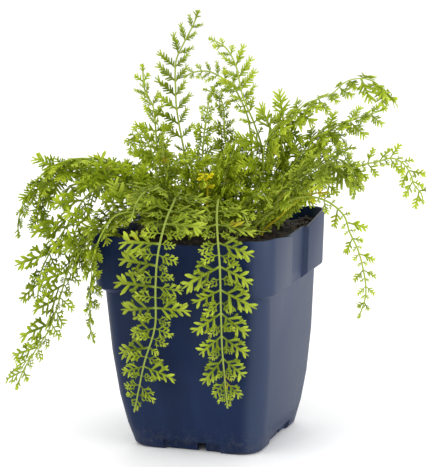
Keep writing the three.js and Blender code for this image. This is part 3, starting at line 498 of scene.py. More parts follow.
LEAVES = {
    # over the front rim
    "leaf_front_left": dict(
        root=[-4, -6], heading=266,
        path=[[8, 138, -1], [20, 147, -2], [40, 143, 2], [56, 135, 5], [63, 120, 4], [63, 101, 2],
              [61, 80], [60, 58, -8], [58, 42, -13], [57, 28, -17]],
        bare=0.2, pairs=12, reach=25, lobes=2, bushy=8, spread=[92, 82], kind="antler", fill=1,
        small=0.62, low=BARE, end=0.75, colour="fresh",
        lengths={3: (1, 0.6), 4: (0.4, 1), 5: (0.3, 1), 6: (0.6, 1), 7: (0.95, 1.1), 8: (0.5, 0.65),
                 9: (0.3, 0.9), 10: (0.85, 0.6), 11: (0.7, 0.6)},
        turned={7: (12, -14), 8: (0, -20), 9: (0, -22), 10: (14, -35), 11: (-24, -20)},
    ),
    "leaf_front_right": dict(
        root=[8, -7], heading=288,
        path=[[8, 138], [20, 144, 1], [40, 139, 1], [56, 130, 2], [61, 116, 3], [61, 95, 3], [60, 70, 3],
              [58, 50, 4], [57, 34, 5]],
        bare=0.22, pairs=10, reach=21, lobes=2, bushy=8, spread=[88, 34], kind="antler", fill=1,
        small=0.75, low=BARE, end=0.75, colour="fresh",
        lengths={2: (1.1, 1.1), 3: (1, 0.6), 4: (1, 1.1), 5: (1.1, 1), 6: (1.1, 1), 7: (1, 0.8),
                 8: (1, 1), 9: (0.8, 0.8)},
    ),
    "leaf_front_low_left": dict(
        root=[-10, -12], heading=255,
        path=[[8, 138], [22, 150, 1], [36, 153, 2], [48, 148, 3], [56, 138, 4]],
        bare=0.2, pairs=8, reach=17, lobes=1, bushy=15, kind="antler", fill=0, low=BARE, colour="fresh",
    ),
    "leaf_front_low_mid": dict(
        root=[1, -14], heading=262,
        path=[[6, 133, 3], [20, 138, 5], [32, 139, 6], [43, 135, 6]],
        bare=0.18, pairs=8, reach=15, lobes=1, bushy=12, kind="antler", fill=0, low=BARE, colour="fresh",
    ),
    "leaf_front_low_right": dict(
        root=[15, -14], heading=300,
        path=[[6, 132], [18, 138, 3], [30, 139, 5], [40, 134, 6]],
        bare=0.18, pairs=8, reach=15, lobes=1, bushy=12, kind="antler", fill=0, low=BARE, colour="fresh",
    ),
    # long arching leaves on the left
    "leaf_left_high": dict(
        root=[-16, -1], heading=200,
        path=[[5, 138], [20, 148], [45, 162], [60, 164], [72, 161], [81, 155], [88, 146], [93, 137],
              [96, 127], [96, 118]],
        bare=0.17, pairs=13, reach=17, lobes=1, roll=40, bushy=20, kind="spray", fill=1, hang=1.1,
        end=0.4, sides=[0.7, 1], colour="mid",
    ),
    "leaf_left_loop": dict(
        root=[-31, -1], heading=200,
        path=[[4, 137], [14, 145], [34, 155], [44, 157], [55, 157], [64, 153], [68, 146], [69, 137],
              [69, 129], [64, 123], [57, 123]],
        bare=0.22, pairs=13, reach=18, lobes=1, roll=40, bushy=20, kind="spray", fill=1, hang=0.5,
        end=0.6, colour="mid",
    ),
    "leaf_left_middle": dict(
        root=[-17, -9], heading=214,
        path=[[5, 137], [26, 150], [47, 149], [66, 126], [75, 113], [80, 102], [83, 84]],
        bare=0.22, pairs=12, reach=20, lobes=1, roll=60, bushy=20, kind="antler", fill=1, small=0.8,
        low=14, hang=0.1, end=0.6, sides=[1.15, 0.7], colour="mid",
    ),
    "leaf_left_long": dict(
        root=[-13, -15], heading=220,
        path=[[6, 135], [18, 140], [31, 142], [41, 137], [51, 131], [60, 119], [67, 105], [71, 94],
              [75, 83], [80, 72], [87, 63], [94, 53], [100, 41]],
        bare=0.26, pairs=16, reach=17, lobes=1, roll=60, bushy=18, kind="antler", fill=1, small=0.6,
        end=0.6, sides=[1.25, 0.7], colour="mid",
        lengths={10: (1, 1.2)},
    ),
    "leaf_left_close": dict(
        root=[-4, -24], heading=231,
        path=[[9, 132], [24, 138], [44, 140], [51, 135], [56, 128], [60, 119], [62, 108], [63, 97],
              [64, 86], [64, 77], [62, 69]],
        bare=0.58, pairs=12, reach=12, roll=40, bushy=20, kind="spray", fill=0, low=BARE, hang=0.2,
        colour="deep",
    ),
    "leaf_left_clump": dict(
        root=[-12, -21], heading=226,
        path=[[7, 132], [20, 138], [35, 139], [42, 134], [49, 128], [56, 121], [61, 114], [65, 106]],
        bare=0.18, pairs=10, reach=19, lobes=1, bushy=35, kind="fluff", hang=0.2, end=0.8, sides=[0.7, 1],
        colour="fresh",
    ),
    "leaf_left_upper": dict(
        root=[-22, 5], heading=191,
        path=[[7, 138], [20, 145], [44, 149], [55, 148], [64, 144], [69, 137], [67, 129]],
        bare=0.2, pairs=11, reach=18, roll=30, bushy=20, kind="spray", fill=1, hang=0.8, end=0.5,
        colour="mid",
    ),
    "leaf_left_back": dict(
        root=[-24, 12], heading=172,
        path=[[8, 139], [20, 147], [49, 155], [63, 157], [77, 155], [88, 150], [96, 142], [101, 133]],
        bare=0.2, pairs=12, reach=13, roll=25, bushy=20, kind="spray", fill=1, hang=0.9, colour="mid",
    ),
    # upright leaves
    "leaf_tall": dict(
        root=[-15, 6], heading=200,
        path=[[0, 137], [1, 158], [3, 171], [5, 184], [6, 194], [6, 203], [6, 211], [5, 219], [0, 229],
              [-5, 238], [-9, 247]],
        bare=0.24, pairs=12, reach=16, lobes=1, roll=88, bushy=15, spread=[55, 38], kind="feather",
        fill=0, end=0.55, sides=[0.8, 1], colour="deep",
        lengths={0: (0.5, 0.5), 1: (0.4, 0.4), 2: (0.5, 0.5)},
    ),
    "leaf_tall_side": dict(
        root=[19, 22], heading=198,
        path=[[2, 138], [4, 148], [1, 161], [1, 172], [2, 182], [4, 189], [7, 196], [11, 203], [18, 208],
              [24, 211], [32, 211], [39, 208]],
        bare=0.62, pairs=9, reach=10, roll=80, bushy=20, kind="feather", fill=0, low=BARE, colour="mid",
    ),
    "leaf_upright_left": dict(
        root=[-24, 0], heading=190,
        path=[[2, 137], [4, 150], [7, 165], [8, 184], [9, 193], [13, 200], [14, 208], [14, 217]],
        bare=0.25, pairs=10, reach=15, roll=80, bushy=25, spread=[60, 40], kind="feather", fill=1,
        colour="mid",
    ),
    "leaf_upright_outer": dict(
        root=[-27, -8], heading=205,
        path=[[2, 136], [2, 152], [4, 166], [7, 174], [10, 178], [14, 177], [16, 172], [17, 166]],
        bare=0.22, pairs=9, reach=15, roll=75, bushy=20, kind="feather", colour="mid",
    ),
    "leaf_upright_bright": dict(
        root=[-21, -14], heading=210,
        path=[[0, 137], [0, 149], [0, 157], [1, 167], [1, 178]],
        bare=0.18, pairs=9, reach=12, roll=60, bushy=50, kind="fluff", colour="fresh",
    ),
    "leaf_middle_left": dict(
        root=[0, 10], heading=215,
        path=[[-1, 139], [-6, 149], [-8, 162], [-6, 174], [-6, 182], [-6, 190], [-4, 196], [1, 200],
              [6, 202]],
        bare=0.2, pairs=14, reach=11, roll=70, bushy=50, kind="fluff", colour="deep",
    ),
    "leaf_middle_inner": dict(
        root=[-6, 11], heading=20,
        path=[[2, 139], [-2, 157], [-1, 172], [1, 185], [3, 195], [6, 201]],
        bare=0.2, pairs=11, reach=11, roll=60, bushy=45, kind="fluff", colour="mid",
    ),
    "leaf_middle": dict(
        root=[4, 2], heading=15,
        path=[[3, 143], [6, 157], [10, 167], [12, 177]],
        bare=0.22, pairs=9, reach=17, lobes=1, roll=20, bushy=50, kind="fluff", colour="mid",
    ),
    "leaf_middle_front": dict(
        root=[-5, 0], heading=270,
        path=[[4, 138], [10, 154], [20, 165, 1], [30, 166, 2]],
        bare=0.2, pairs=8, reach=17, lobes=1, bushy=50, kind="fluff", colour="mid",
    ),
    "leaf_middle_right": dict(
        root=[12, 6], heading=50,
        path=[[2, 138], [5, 154], [7, 166], [11, 176]],
        bare=0.22, pairs=8, reach=15, roll=70, bushy=50, kind="fluff", colour="deep",
    ),
    "leaf_arch_middle": dict(
        root=[13, 15], heading=32,
        path=[[9, 142], [14, 162], [10, 179], [3, 197], [-1, 216], [-7, 226], [-16, 231]],
        bare=0.42, pairs=10, reach=14, lobes=1, roll=88, bushy=15, spread=[60, 42], kind="feather",
        fill=0, low=BARE, sides=[1.1, 0.8], colour="mid",
        lengths={0: (0.4, 0), 1: (0.5, 0.5), 2: (0.6, 0.6), 3: (0.5, 1), 4: (0.6, 1), 5: (1, 1.4),
                 6: (1, 1.8), 7: (1, 1.8)},
    ),
    "leaf_column": dict(
        root=[33, 22], heading=30,
        path=[[2, 133], [4, 149], [4, 167]],
        bare=0.12, pairs=8, reach=9, roll=75, bushy=35, kind="fluff", fill=1, colour="fresh",
    ),
    # long arching leaves on the right
    "leaf_right_high": dict(
        root=[26, 15], heading=20,
        path=[[5, 142], [10, 157], [13, 172], [19, 184], [26, 192], [34, 195], [42, 198], [49, 204],
              [56, 206], [64, 205], [70, 200], [72, 195], [74, 190]],
        bare=0.2, pairs=16, reach=17, lobes=1, roll=20, bushy=25, spread=[76, 60], kind="spray", fill=0,
        hang=0.6, end=0.85, colour="mid",
        lengths={7: (0.9, 1), 8: (0.9, 0.9), 9: (0.6, 0.65), 10: (0.65, 0.6), 11: (0.6, 0.65),
                 12: (0.65, 0.6)},
    ),
    "leaf_right_slant": dict(
        root=[18, 10], heading=20,
        path=[[3, 139], [10, 151], [11, 161], [12, 169], [17, 178], [24, 185], [31, 190]],
        bare=0.38, pairs=10, reach=18, roll=50, bushy=35, kind="fluff", hang=0.3, end=1.1, colour="mid",
        lengths={1: (0.5, 0.5), 2: (0.6, 0.6)},
    ),
    "leaf_right_second": dict(
        root=[28, 8], heading=9,
        path=[[8, 143], [18, 156], [26, 168], [35, 176], [44, 181], [52, 184], [60, 187], [67, 189],
              [73, 193]],
        bare=0.18, pairs=14, reach=16, lobes=1, roll=25, bushy=30, kind="spray", fill=1, hang=0.3,
        end=0.6, colour="mid",
    ),
    "leaf_right_inner": dict(
        root=[31.5, 14.5], heading=16,
        path=[[4, 141], [7, 155], [6, 166], [9, 178], [14, 185], [22, 190], [31, 191]],
        bare=0.18, pairs=9, reach=17, roll=25, bushy=35, kind="fluff", hang=0.5, colour="mid",
    ),
    "leaf_right_broad": dict(
        root=[37, 12], heading=13,
        path=[[4, 139], [9, 155], [15, 166], [22, 173], [30, 177], [37, 174], [40, 167]],
        bare=0.16, pairs=8, reach=18, roll=25, bushy=35, kind="fluff", hang=0.5, colour="fresh",
    ),
    "leaf_right_third": dict(
        root=[30, 3], heading=5,
        path=[[15, 138], [30, 156], [44, 168], [56, 171]],
        bare=0.18, pairs=9, reach=17, roll=30, bushy=30, kind="fluff", hang=0.6, colour="fresh",
    ),
    "leaf_right_far": dict(
        root=[25, -2], heading=8,
        path=[[14, 134], [31, 143], [43, 150], [55, 156], [65, 161], [74, 163], [82, 165], [88, 162],
              [92, 156], [94, 150], [98, 145], [99, 139]],
        bare=0.3, pairs=14, reach=11, roll=55, bushy=20, kind="claw", fill=1, small=0.6, end=1.2,
        colour="mid",
        lengths={2: (0.4, 1), 4: (1, 0.4), 6: (0.5, 1), 8: (1, 0.5)},
    ),
    "leaf_right_hanging": dict(
        root=[29, -11], heading=0,
        path=[[12, 135], [27, 144], [38, 145], [47, 142], [55, 135], [58, 126], [62, 118], [65, 108],
              [67, 93], [65, 84], [62, 77]],
        bare=0.42, pairs=8, reach=12, lobes=1, roll=80, bushy=18, spread=[66, 45], kind="claw", fill=1,
        small=0.5, end=0.4, colour="mid",
        lengths={1: (0.3, 1), 2: (1, 0.4), 3: (0.5, 1), 4: (1, 0.5)},
    ),
    "leaf_right_bowed": dict(
        root=[26, -7], heading=350,
        path=[[12, 134], [30, 152], [46, 163], [58, 168], [65, 164], [68, 156], [67, 146]],
        bare=0.28, pairs=10, reach=17, roll=20, bushy=30, kind="fluff", hang=1.2, end=0.5, colour="fresh",
        lengths={5: (1.3, 1.3), 6: (1.5, 1.5), 7: (1.5, 1.5), 8: (1.2, 1.2), 9: (0.5, 0.5)},
    ),
    "leaf_near_corner": dict(
        root=[19, -9], heading=318,
        path=[[5, 134], [14, 144, 3], [24, 147, 5], [32, 141, 6]],
        bare=0.22, pairs=7, reach=14, bushy=25, kind="fluff", fill=0, colour="deep",
    ),
    "leaf_curled": dict(
        root=[23, -18], heading=300,
        path=[[4, 127, 1], [12, 129, 4], [20, 128, 9], [24, 129, 15]],
        bare=0.35, pairs=4, reach=6, bushy=10, kind="fluff", fill=0, colour="fresh",
    ),
    # behind
    "leaf_back_right_low": dict(
        root=[21, 30], heading=52,
        path=[[6, 138], [18, 151], [32, 155], [44, 147], [52, 134]],
        bare=0.22, pairs=9, reach=13, bushy=15, kind="spray", fill=0, colour="mid",
    ),
    "leaf_back_right": dict(
        root=[12, 26], heading=84,
        path=[[6, 140], [18, 152], [32, 150], [41, 136], [44, 114], [44, 88], [41, 62]],
        bare=0.2, pairs=9, reach=18, lobes=1, bushy=10, kind="spray", fill=0, colour="fresh",
    ),
    "leaf_back": dict(
        root=[3, 22], heading=103,
        path=[[6, 141], [20, 156], [37, 158], [52, 146], [60, 122], [63, 96]],
        bare=0.22, pairs=9, reach=15, bushy=15, kind="spray", fill=0, colour="mid",
    ),
    "leaf_back_left": dict(
        root=[-6, 21], heading=124,
        path=[[6, 140], [20, 152], [39, 152], [56, 136], [63, 112], [65, 86], [62, 62]],
        bare=0.2, pairs=9, reach=17, lobes=1, bushy=10, kind="spray", fill=0, colour="fresh",
    ),
    "leaf_back_far_left": dict(
        root=[-15, 20], heading=148,
        path=[[8, 140], [26, 156], [48, 157], [64, 144], [74, 122]],
        bare=0.22, pairs=9, reach=15, roll=15, bushy=20, kind="spray", fill=0, colour="mid",
    ),
    # yellowed leaves
    "leaf_yellowed_middle": dict(
        root=[0, -5], heading=262,
        path=[[3, 136, 2], [6, 149, 4], [13, 157, 6], [20, 157, 9]],
        bare=0.6, pairs=3, reach=6, roll=30, bushy=20, kind="withered", fill=0, low=BARE,
        colour="yellowed",
    ),
    "leaf_yellowed_right": dict(
        root=[33, -4], heading=358,
        path=[[10, 131], [21, 141], [32, 146], [41, 147]],
        bare=0.78, pairs=2, reach=6, roll=60, bushy=10, kind="withered", fill=0, low=BARE,
        colour="yellowed",
    ),
}

# ---- The shape of a rib ----

CURVE_STEPS = 8
STALK_HOLE_DEPTH = 9
STALK_RISE = 2.5
RIB_WIDTH = (1.6, 0.9)
RIB_THICKNESS = (1.6, 0.7)


def smooth_curve(knots, steps):
    """Points along a centripetal Catmull-Rom curve through the knots, with steps to each span."""
    knots = [2 * knots[0] - knots[1], *knots, 2 * knots[-1] - knots[-2]]
    points = [knots[1].copy()]
    for a, b, c, d in zip(knots, knots[1:], knots[2:], knots[3:]):
        before, here, after = ((q - p).length ** 0.5 for p, q in ((a, b), (b, c), (c, d)))
        leaving = ((b - a) / before - (c - a) / (before + here) + (c - b) / here) * here
        arriving = ((c - b) / here - (d - b) / (here + after) + (d - c) / after) * here
        for step in range(1, steps + 1):
            t = step / steps
            cubic = 2 * b - 2 * c + leaving + arriving
            square = 3 * c - 3 * b - 2 * leaving - arriving
            points.append(b + leaving * t + square * t * t + cubic * t * t * t)
    return points


class Rib:
    """A leaf's rib, in millimetres. at() gives, for a distance along it, the point, the direction of
    growth, the direction to the blade's left and the blade's upper face."""

    def __init__(self, leaf):
        heading = math.radians(leaf["heading"])
        ahead = Vector((math.cos(heading), math.sin(heading), 0))
        self.left = Vector((-math.sin(heading), math.cos(heading), 0))
        ground = Vector((*leaf["root"], 0))
        surface = soil_height(*leaf["root"])
        path = [(0, surface - STALK_HOLE_DEPTH + 1), (0, surface + STALK_RISE), *leaf["path"]]
        knots = []
        for out, up, *aside in path:
            knots.append(ground + ahead * out + self.left * sum(aside) + Vector((0, 0, up)))
        self.points = smooth_curve(knots, CURVE_STEPS)
        self.reached = [0]
        for p, q in zip(self.points, self.points[1:]):
            self.reached.append(self.reached[-1] + (q - p).length)
        self.length = self.reached[-1]
        self.roll = math.radians(leaf["roll"])

    def at(self, distance):
        s = min(max(distance, 0), self.length)
        last = len(self.points) - 1
        i = 1
        while i < last and self.reached[i] < s:
            i += 1
        share = (s - self.reached[i - 1]) / (self.reached[i] - self.reached[i - 1])
        point = self.points[i - 1].lerp(self.points[i], share)
        along = (self.points[min(i + 1, last)] - self.points[max(i - 2, 0)]).normalized()
        flat_side = (self.left - along * self.left.dot(along)).normalized()
        flat_face = along.cross(flat_side)
        turned = self.roll * smooth_step(0, 0.3, s / self.length)
        side = flat_side * math.cos(turned) + flat_face * math.sin(turned)
        return point, along, side, along.cross(side)

    def half_width(self, distance):
        return mix(*RIB_WIDTH, distance / self.length) / 2

    def thickness(self, distance):
        return mix(*RIB_THICKNESS, min(1.5 * distance / self.length, 1))


# ---- Room among the leaflets ----


class Draws:
    """A repeatable run of numbers from 0 to 1."""

    def __init__(self, seed):
        self.state = seed * 7919
        self.next()

    def next(self):
        self.state = (self.state * 1664525 + 1013904223) % 4294967296
        return self.state / 4294967296

    def between(self, low, high):
        return mix(low, high, self.next())


class Room:
    """Spheres already taken by ribs and leaflets, in a grid of cells."""

    CELL = 3

    def __init__(self):
        self.cells = {}

    def cell(self, point):
        return tuple(math.floor(v / self.CELL) for v in point)

    def take(self, spheres, owner):
        for point, radius, _ in spheres:
            self.cells.setdefault(self.cell(point), []).append((point, radius, owner))

    def near(self, point):
        i, j, k = self.cell(point)
        for a in (i - 1, i, i + 1):
            for b in (j - 1, j, j + 1):
                for c in (k - 1, k, k + 1):
                    yield from self.cells.get((a, b, c), ())

    def is_clear(self, spheres, own_rib, overlap):
        """Whether spheres are clear of pot and soil, and lie no more than the overlap over what is taken."""
        for point, radius, off_rib in spheres:
            if not clear_of_pot(point):
                return False
            for other, other_radius, owner in self.near(point):
                apart = radius + other_radius - overlap
                if (off_rib or owner != own_rib) and (point - other).length < apart:
                    return False
        return True


# The pot's outside, from the ground up: height, half the width across flats, corner radius.
POT_PROFILE = [(0, 37.4, 13), (1.5, 39, 12), (14, 42.1, 12), (31, 45, 12), (57, 47.6, 12), (92.6, 49.5, 12),
               (95.7, 53.6, 13), (122.7, 55, 13)]
WING_TOP = 127.4
# Leaflets stay this far outside the pot, and inside it this far from its outer face.
POT_GAP = 1
INNER_FACE = -5.6


def outside_pot(point):
    """How far a point is outside the pot's outer face, or inside it where negative."""
    i = 1
    while i < len(POT_PROFILE) - 1 and POT_PROFILE[i][0] < point.z:
        i += 1
    low, high = POT_PROFILE[i - 1], POT_PROFILE[i]
    share = min(max((point.z - low[0]) / (high[0] - low[0]), 0), 1)
    half, corner = mix(low[1], high[1], share), mix(low[2], high[2], share)
    x, y = abs(point.x) - half + corner, abs(point.y) - half + corner
    return math.hypot(max(x, 0), max(y, 0)) + min(max(x, y), 0) - corner


def clear_of_pot(point):
    """Whether a point is over the pot, outside it or in it over the soil, with a gap to each."""
    if point.z > WING_TOP + POT_GAP:
        return True
    outside = outside_pot(point)
    if outside > POT_GAP:
        return point.z > 2 * POT_GAP
    return outside < INNER_FACE and point.z > soil_height(point.x, point.y) + POT_GAP


# ---- Leaflets ----

LEAFLET_CURL = -0.12
LOBE_ANGLE = math.radians(48)
FINGER_RADIUS = 0.6
SPHERE_STEP = 1.2


class Leaflet:
    """A leaflet's place: its root, the directions outward, forward and to its upper face, its length."""

    def __init__(self, origin, outward, front, face, length):
        self.origin, self.outward, self.front, self.face = origin, outward, front, face
        self.length = length

    def point(self, out, ahead):
        sag = LEAFLET_CURL * out * out / self.length
        return self.origin + self.outward * out + self.front * ahead + self.face * sag


def lay_leaflet(rib, distance, side_sign, turn, lift, length, hang):
    """turn is the leaflet's angle to the rib, lift its angle out of the blade, hang how far it droops."""
    point, along, side, face = rib.at(distance)
    outward = along * math.cos(turn) + side * (side_sign * math.sin(turn))
    outward = outward * math.cos(lift) + face * math.sin(lift)
    outward = (outward - Vector((0, 0, hang))).normalized()
    front = (along - outward * along.dot(outward)).normalized()
    return Leaflet(point, outward, front, front.cross(outward) * side_sign, length)


def fingers_of(length, lobes):
    """Where a leaflet's fingers leave it and how long they are, and its last web's place and half."""
    if lobes == 2:
        return [(0.13 * length, 0.36 * length), (0.42 * length, 0.34 * length)], (0.58 * length, 1)
    if lobes == 1:
        return [(0.2 * length, 0.46 * length)], (max(0.38 * length, 3.4), 0.08 * length + 0.2)
    return [], (0.56 * length, 0.16 * length + 0.2)


def spheres_of(leaflet, lobes):
    """Spheres along a leaflet: centre, radius, and whether it must be clear of its own rib too."""
    fingers, (web_out, web_half) = fingers_of(leaflet.length, lobes)
    spheres = []
    out = 2.4
    while out <= leaflet.length:
        radius = max(web_half, FINGER_RADIUS) if out < web_out + 1.5 else FINGER_RADIUS
        spheres.append((leaflet.point(out, 0), radius, out > 0.5 * leaflet.length))
        out += SPHERE_STEP
    for start, long in fingers:
        reach = 1.6
        while reach <= long:
            x, y = start + reach * math.cos(LOBE_ANGLE), reach * math.sin(LOBE_ANGLE)
            spheres.append((leaflet.point(x, y), FINGER_RADIUS, reach > 0.45 * long))
            spheres.append((leaflet.point(x, -y), FINGER_RADIUS, reach > 0.45 * long))
            reach += SPHERE_STEP
    return spheres


# What a leaflet tries in turn: shares of its length and, at each, a bend out of the blade and a wider angle.
SHRUNK = (1, 0.8, 0.6, 0.42)
BENT = ((0, 0), (0.35, 0.1), (-0.35, 0.1), (0, 0.3), (0.7, 0.2), (-0.7, 0.2))
# Leaflets up to this length are stubs.
STUB = 7


def find_room(room, name, leaf, rib, place, hang, overlap):
    """The first of several lengths and bends at which a leaflet has room, or None."""
    distance, side_sign, turn, lift, full = place
    for share in SHRUNK:
        for bend, opened in BENT:
            leaflet = lay_leaflet(rib, distance, side_sign, turn + opened, lift + bend, full * share, hang)
            lobes = leaf["lobes"] if leaflet.length > STUB else 0
            spheres = spheres_of(leaflet, lobes)
            if room.is_clear(spheres, name, overlap):
                room.take(spheres, name + " leaflets")
                return leaflet
    return None


def leaflet_share(leaf, t):
    """A leaflet's length at a share of the blade's length, as a share of the leaf's reach."""
    return min(0.55 + 2.2 * t, 1) * min(1, leaf["end"] + 1.3 * (1 - t))


# How far leaflets may lie over others: those in pairs, and the small ones.
PAIR_OVERLAP = 1
SMALL_OVERLAP = 0.8
# Where a pair stands in its stretch of the rib, as a share.
PAIR_PLACE = 0.4
# The shortest small leaflet, and the distance between those on the stalk.
SMALLEST = 3.5
STALK_STEP = 3.5
# Added to a leaf's seed, for its small leaflets and for its looks.
SMALL_SEED = 100
LOOKS_SEED = 500
# How leaflets differ: their angles in degrees, their lift as a share of bushy, their length as a share.
SWAY = 0.7
ANGLE_PLAY = 14
SMALL_ANGLE_PLAY = 12
LIFT_PLAY = 0.8
SMALL_LIFT_PLAY = 0.7
LENGTH_PLAY = (0.88, 1.08)
SMALL_LENGTH = (0.5, 0.8)


class Leaf:
    """One leaf: its rib, and its leaflets as they find room."""

    def __init__(self, name, form, seed):
        self.name = name
        self.form = form
        self.seed = seed
        self.rib = Rib(form)
        self.tip_length = max(0.4 * form["reach"], 4)
        self.start = form["bare"] * self.rib.length
        self.end = self.rib.length - self.tip_length
        self.pitch = (self.end - self.start) / form["pairs"]
        self.leaflets = []

    def take_rib(self, room):
        spheres = []
        distance = 0
        while distance < self.rib.length:
            radius = math.hypot(self.rib.half_width(distance), self.rib.thickness(distance) / 2)
            spheres.append((self.rib.at(distance)[0], radius, False))
            distance += 1
        room.take(spheres, self.name)

    def turn_at(self, t):
        return mix(*self.form["spread"], t)

    def sway(self, i, side_sign):
        """Leaflets stand up and down by turns, the two of a pair in opposite ways."""
        return 1 if (i + (0 if side_sign > 0 else 1)) % 2 else -1

    def add_leaflet(self, room, place, hang, overlap):
        found = find_room(room, self.name, self.form, self.rib, place, hang, overlap)
        if found:
            self.leaflets.append(found)

    def grow(self, room):
        """The leaf's own pairs of leaflets and the one at its tip."""
        draws = Draws(self.seed)
        point, along, side, face = self.rib.at(self.end)
        tip = Leaflet(point, along, -side, face, self.tip_length)
        room.take(spheres_of(tip, min(self.form["lobes"], 1)), self.name + " leaflets")
        self.leaflets.append(tip)
        bushy = math.radians(self.form["bushy"])
        for i in range(self.form["pairs"]):
            t = (i + 0.5) / self.form["pairs"]
            for side_sign in (1, -1):
                jitter = [draws.next() for _ in range(3)]
                left_right = 0 if side_sign > 0 else 1
                wider = self.form["turned"].get(i, (0, 0))[left_right]
                turn = math.radians(self.turn_at(t) + ANGLE_PLAY * (jitter[0] - 0.5) + wider)
                lift = bushy * (SWAY * self.sway(i, side_sign) + LIFT_PLAY * (jitter[1] - 0.5))
                full = self.form["reach"] * leaflet_share(self.form, t) * mix(*LENGTH_PLAY, jitter[2])
                full *= self.form["sides"][left_right] * self.form["lengths"].get(i, (1, 1))[left_right]
                hang = self.form["hang"] * smooth_step(0.1, 0.8, t)
                if full:
                    distance = self.start + self.pitch * (i + PAIR_PLACE)
                    place = (distance, side_sign, turn, lift, full)
                    self.add_leaflet(room, place, hang, PAIR_OVERLAP)

    def fill(self, room):
        """Smaller leaflets between the pairs, and from the soil up to the first pair."""
        draws = Draws(self.seed + SMALL_SEED)
        step = self.pitch / (self.form["fill"] + 1)
        low = STALK_HOLE_DEPTH + STALK_RISE + self.form["low"]
        distance = self.start + self.pitch * PAIR_PLACE + step
        places = []
        while distance < self.end - 1:
            places.append(distance)
            distance += step
        distance = self.start
        while distance > low:
            places.append(distance)
            distance -= STALK_STEP
        bushy = math.radians(max(self.form["bushy"], 15))
        hang = 0.2 * self.form["hang"]
        for i, distance in enumerate(places):
            t = min(max((distance - self.start) / (self.end - self.start), 0), 1)
            nearest = (distance - self.start) / self.pitch - PAIR_PLACE
            if distance > self.start + 0.1 and abs(nearest - round(nearest)) < 0.1:
                continue
            for side_sign in (1, -1):
                turn = math.radians(self.turn_at(t) + draws.between(-SMALL_ANGLE_PLAY, SMALL_ANGLE_PLAY))
                lift = bushy * (self.sway(i, side_sign) + draws.between(-SMALL_LIFT_PLAY, SMALL_LIFT_PLAY))
                full = self.form["reach"] * leaflet_share(self.form, t) * draws.between(*SMALL_LENGTH)
                place = (distance, side_sign, turn, lift, max(full * self.form["small"], SMALLEST))
                self.add_leaflet(room, place, hang, SMALL_OVERLAP)


# ---- The forms that leaves are made of ----


def make_lobe():
    """A pointed, four-sided lobe along +X from the origin, one long, one wide and one thick."""
    sheet = bmesh.new()
    lift = Matrix.Translation((0, 0, 0.35))
    bmesh.ops.create_cone(sheet, cap_ends=True, segments=4, radius1=0.34, radius2=0.5, depth=0.7, matrix=lift)
    tip = max(sheet.faces, key=lambda face: face.calc_center_median().z)
    grown = bmesh.ops.extrude_discrete_faces(sheet, faces=[tip])["faces"][0]
    bmesh.ops.translate(sheet, vec=(0, 0, 0.3), verts=grown.verts)
    bmesh.ops.scale(sheet, vec=(0.3, 0.3, 1), verts=grown.verts)
    bmesh.ops.rotate(sheet, matrix=Matrix.Rotation(math.pi / 2, 3, "Y"), verts=sheet.verts)
    return mesh_from(sheet, "lobe")


def make_needle():
    """A three-sided lobe that tapers from its root, along +X like the other."""
    sheet = bmesh.new()
    lift = Matrix.Translation((0, 0, 0.5))
    bmesh.ops.create_cone(sheet, cap_ends=True, segments=3, radius1=0.6, radius2=0.36, depth=1, matrix=lift)
    bmesh.ops.rotate(sheet, matrix=Matrix.Rotation(math.pi / 2, 3, "Y"), verts=sheet.verts)
    return mesh_from(sheet, "needle")


def mesh_from(sheet, name):
    mesh = bpy.data.meshes.new(name)
    sheet.to_mesh(mesh)
    sheet.free()
    return mesh


def make_leaflet(lobe, pairs, long, width, seed, teeth=0, spread=48, first=0.12):
    """A leaflet of unit length along +X: an axis with pairs of lobes from first on, long at the most and as
    wide as width, each with teeth, and a forked end."""
    draws = Draws(seed)
    sheet = bmesh.new()
    thick = 0.5 * width

    def add(x, y, angle, length, wide, tilt=0.0):
        facing = Matrix.Rotation(angle, 4, "Z") @ Matrix.Rotation(-tilt, 4, "Y")
        size = Matrix.Diagonal((length, wide, thick, 1))
        stamp(sheet, lobe, Matrix.Translation((x, y, 0)) @ facing @ size)

    add(0, 0, 0, 1, width * 0.95)
    for i in range(pairs):
        for sign in (1, -1):
            share = (i + 0.5) / pairs
            x = mix(first, 0.76, share) + sign * 0.05 + draws.between(-0.03, 0.03)
            angle = sign * math.radians(spread + draws.between(-9, 9))
            length = long * mix(1.1, 0.7, share) * draws.between(0.75, 1.15)
            add(x, 0, angle, length, width, math.radians(draws.between(-20, 20)))
            for side, where in ((1, 0.42), (-1, 0.6))[:teeth if share < 0.7 else 0]:
                fork = where * length
                turned = angle + side * sign * math.radians(draws.between(30, 44))
                add(x + fork * math.cos(angle), fork * math.sin(angle), turned, 0.45 * length, width * 0.85)
    add(0.72, 0, math.radians(draws.between(28, 42)), 0.27, width * 0.9)
    add(0.78, 0, -math.radians(draws.between(28, 42)), 0.23, width * 0.9)
    return mesh_from(sheet, "leaflet")


def alike(count, seed, **shape):
    """Leaflets of one shape, each with draws of its own."""
    return [make_leaflet(seed=seed + k, **shape) for k in range(count)]


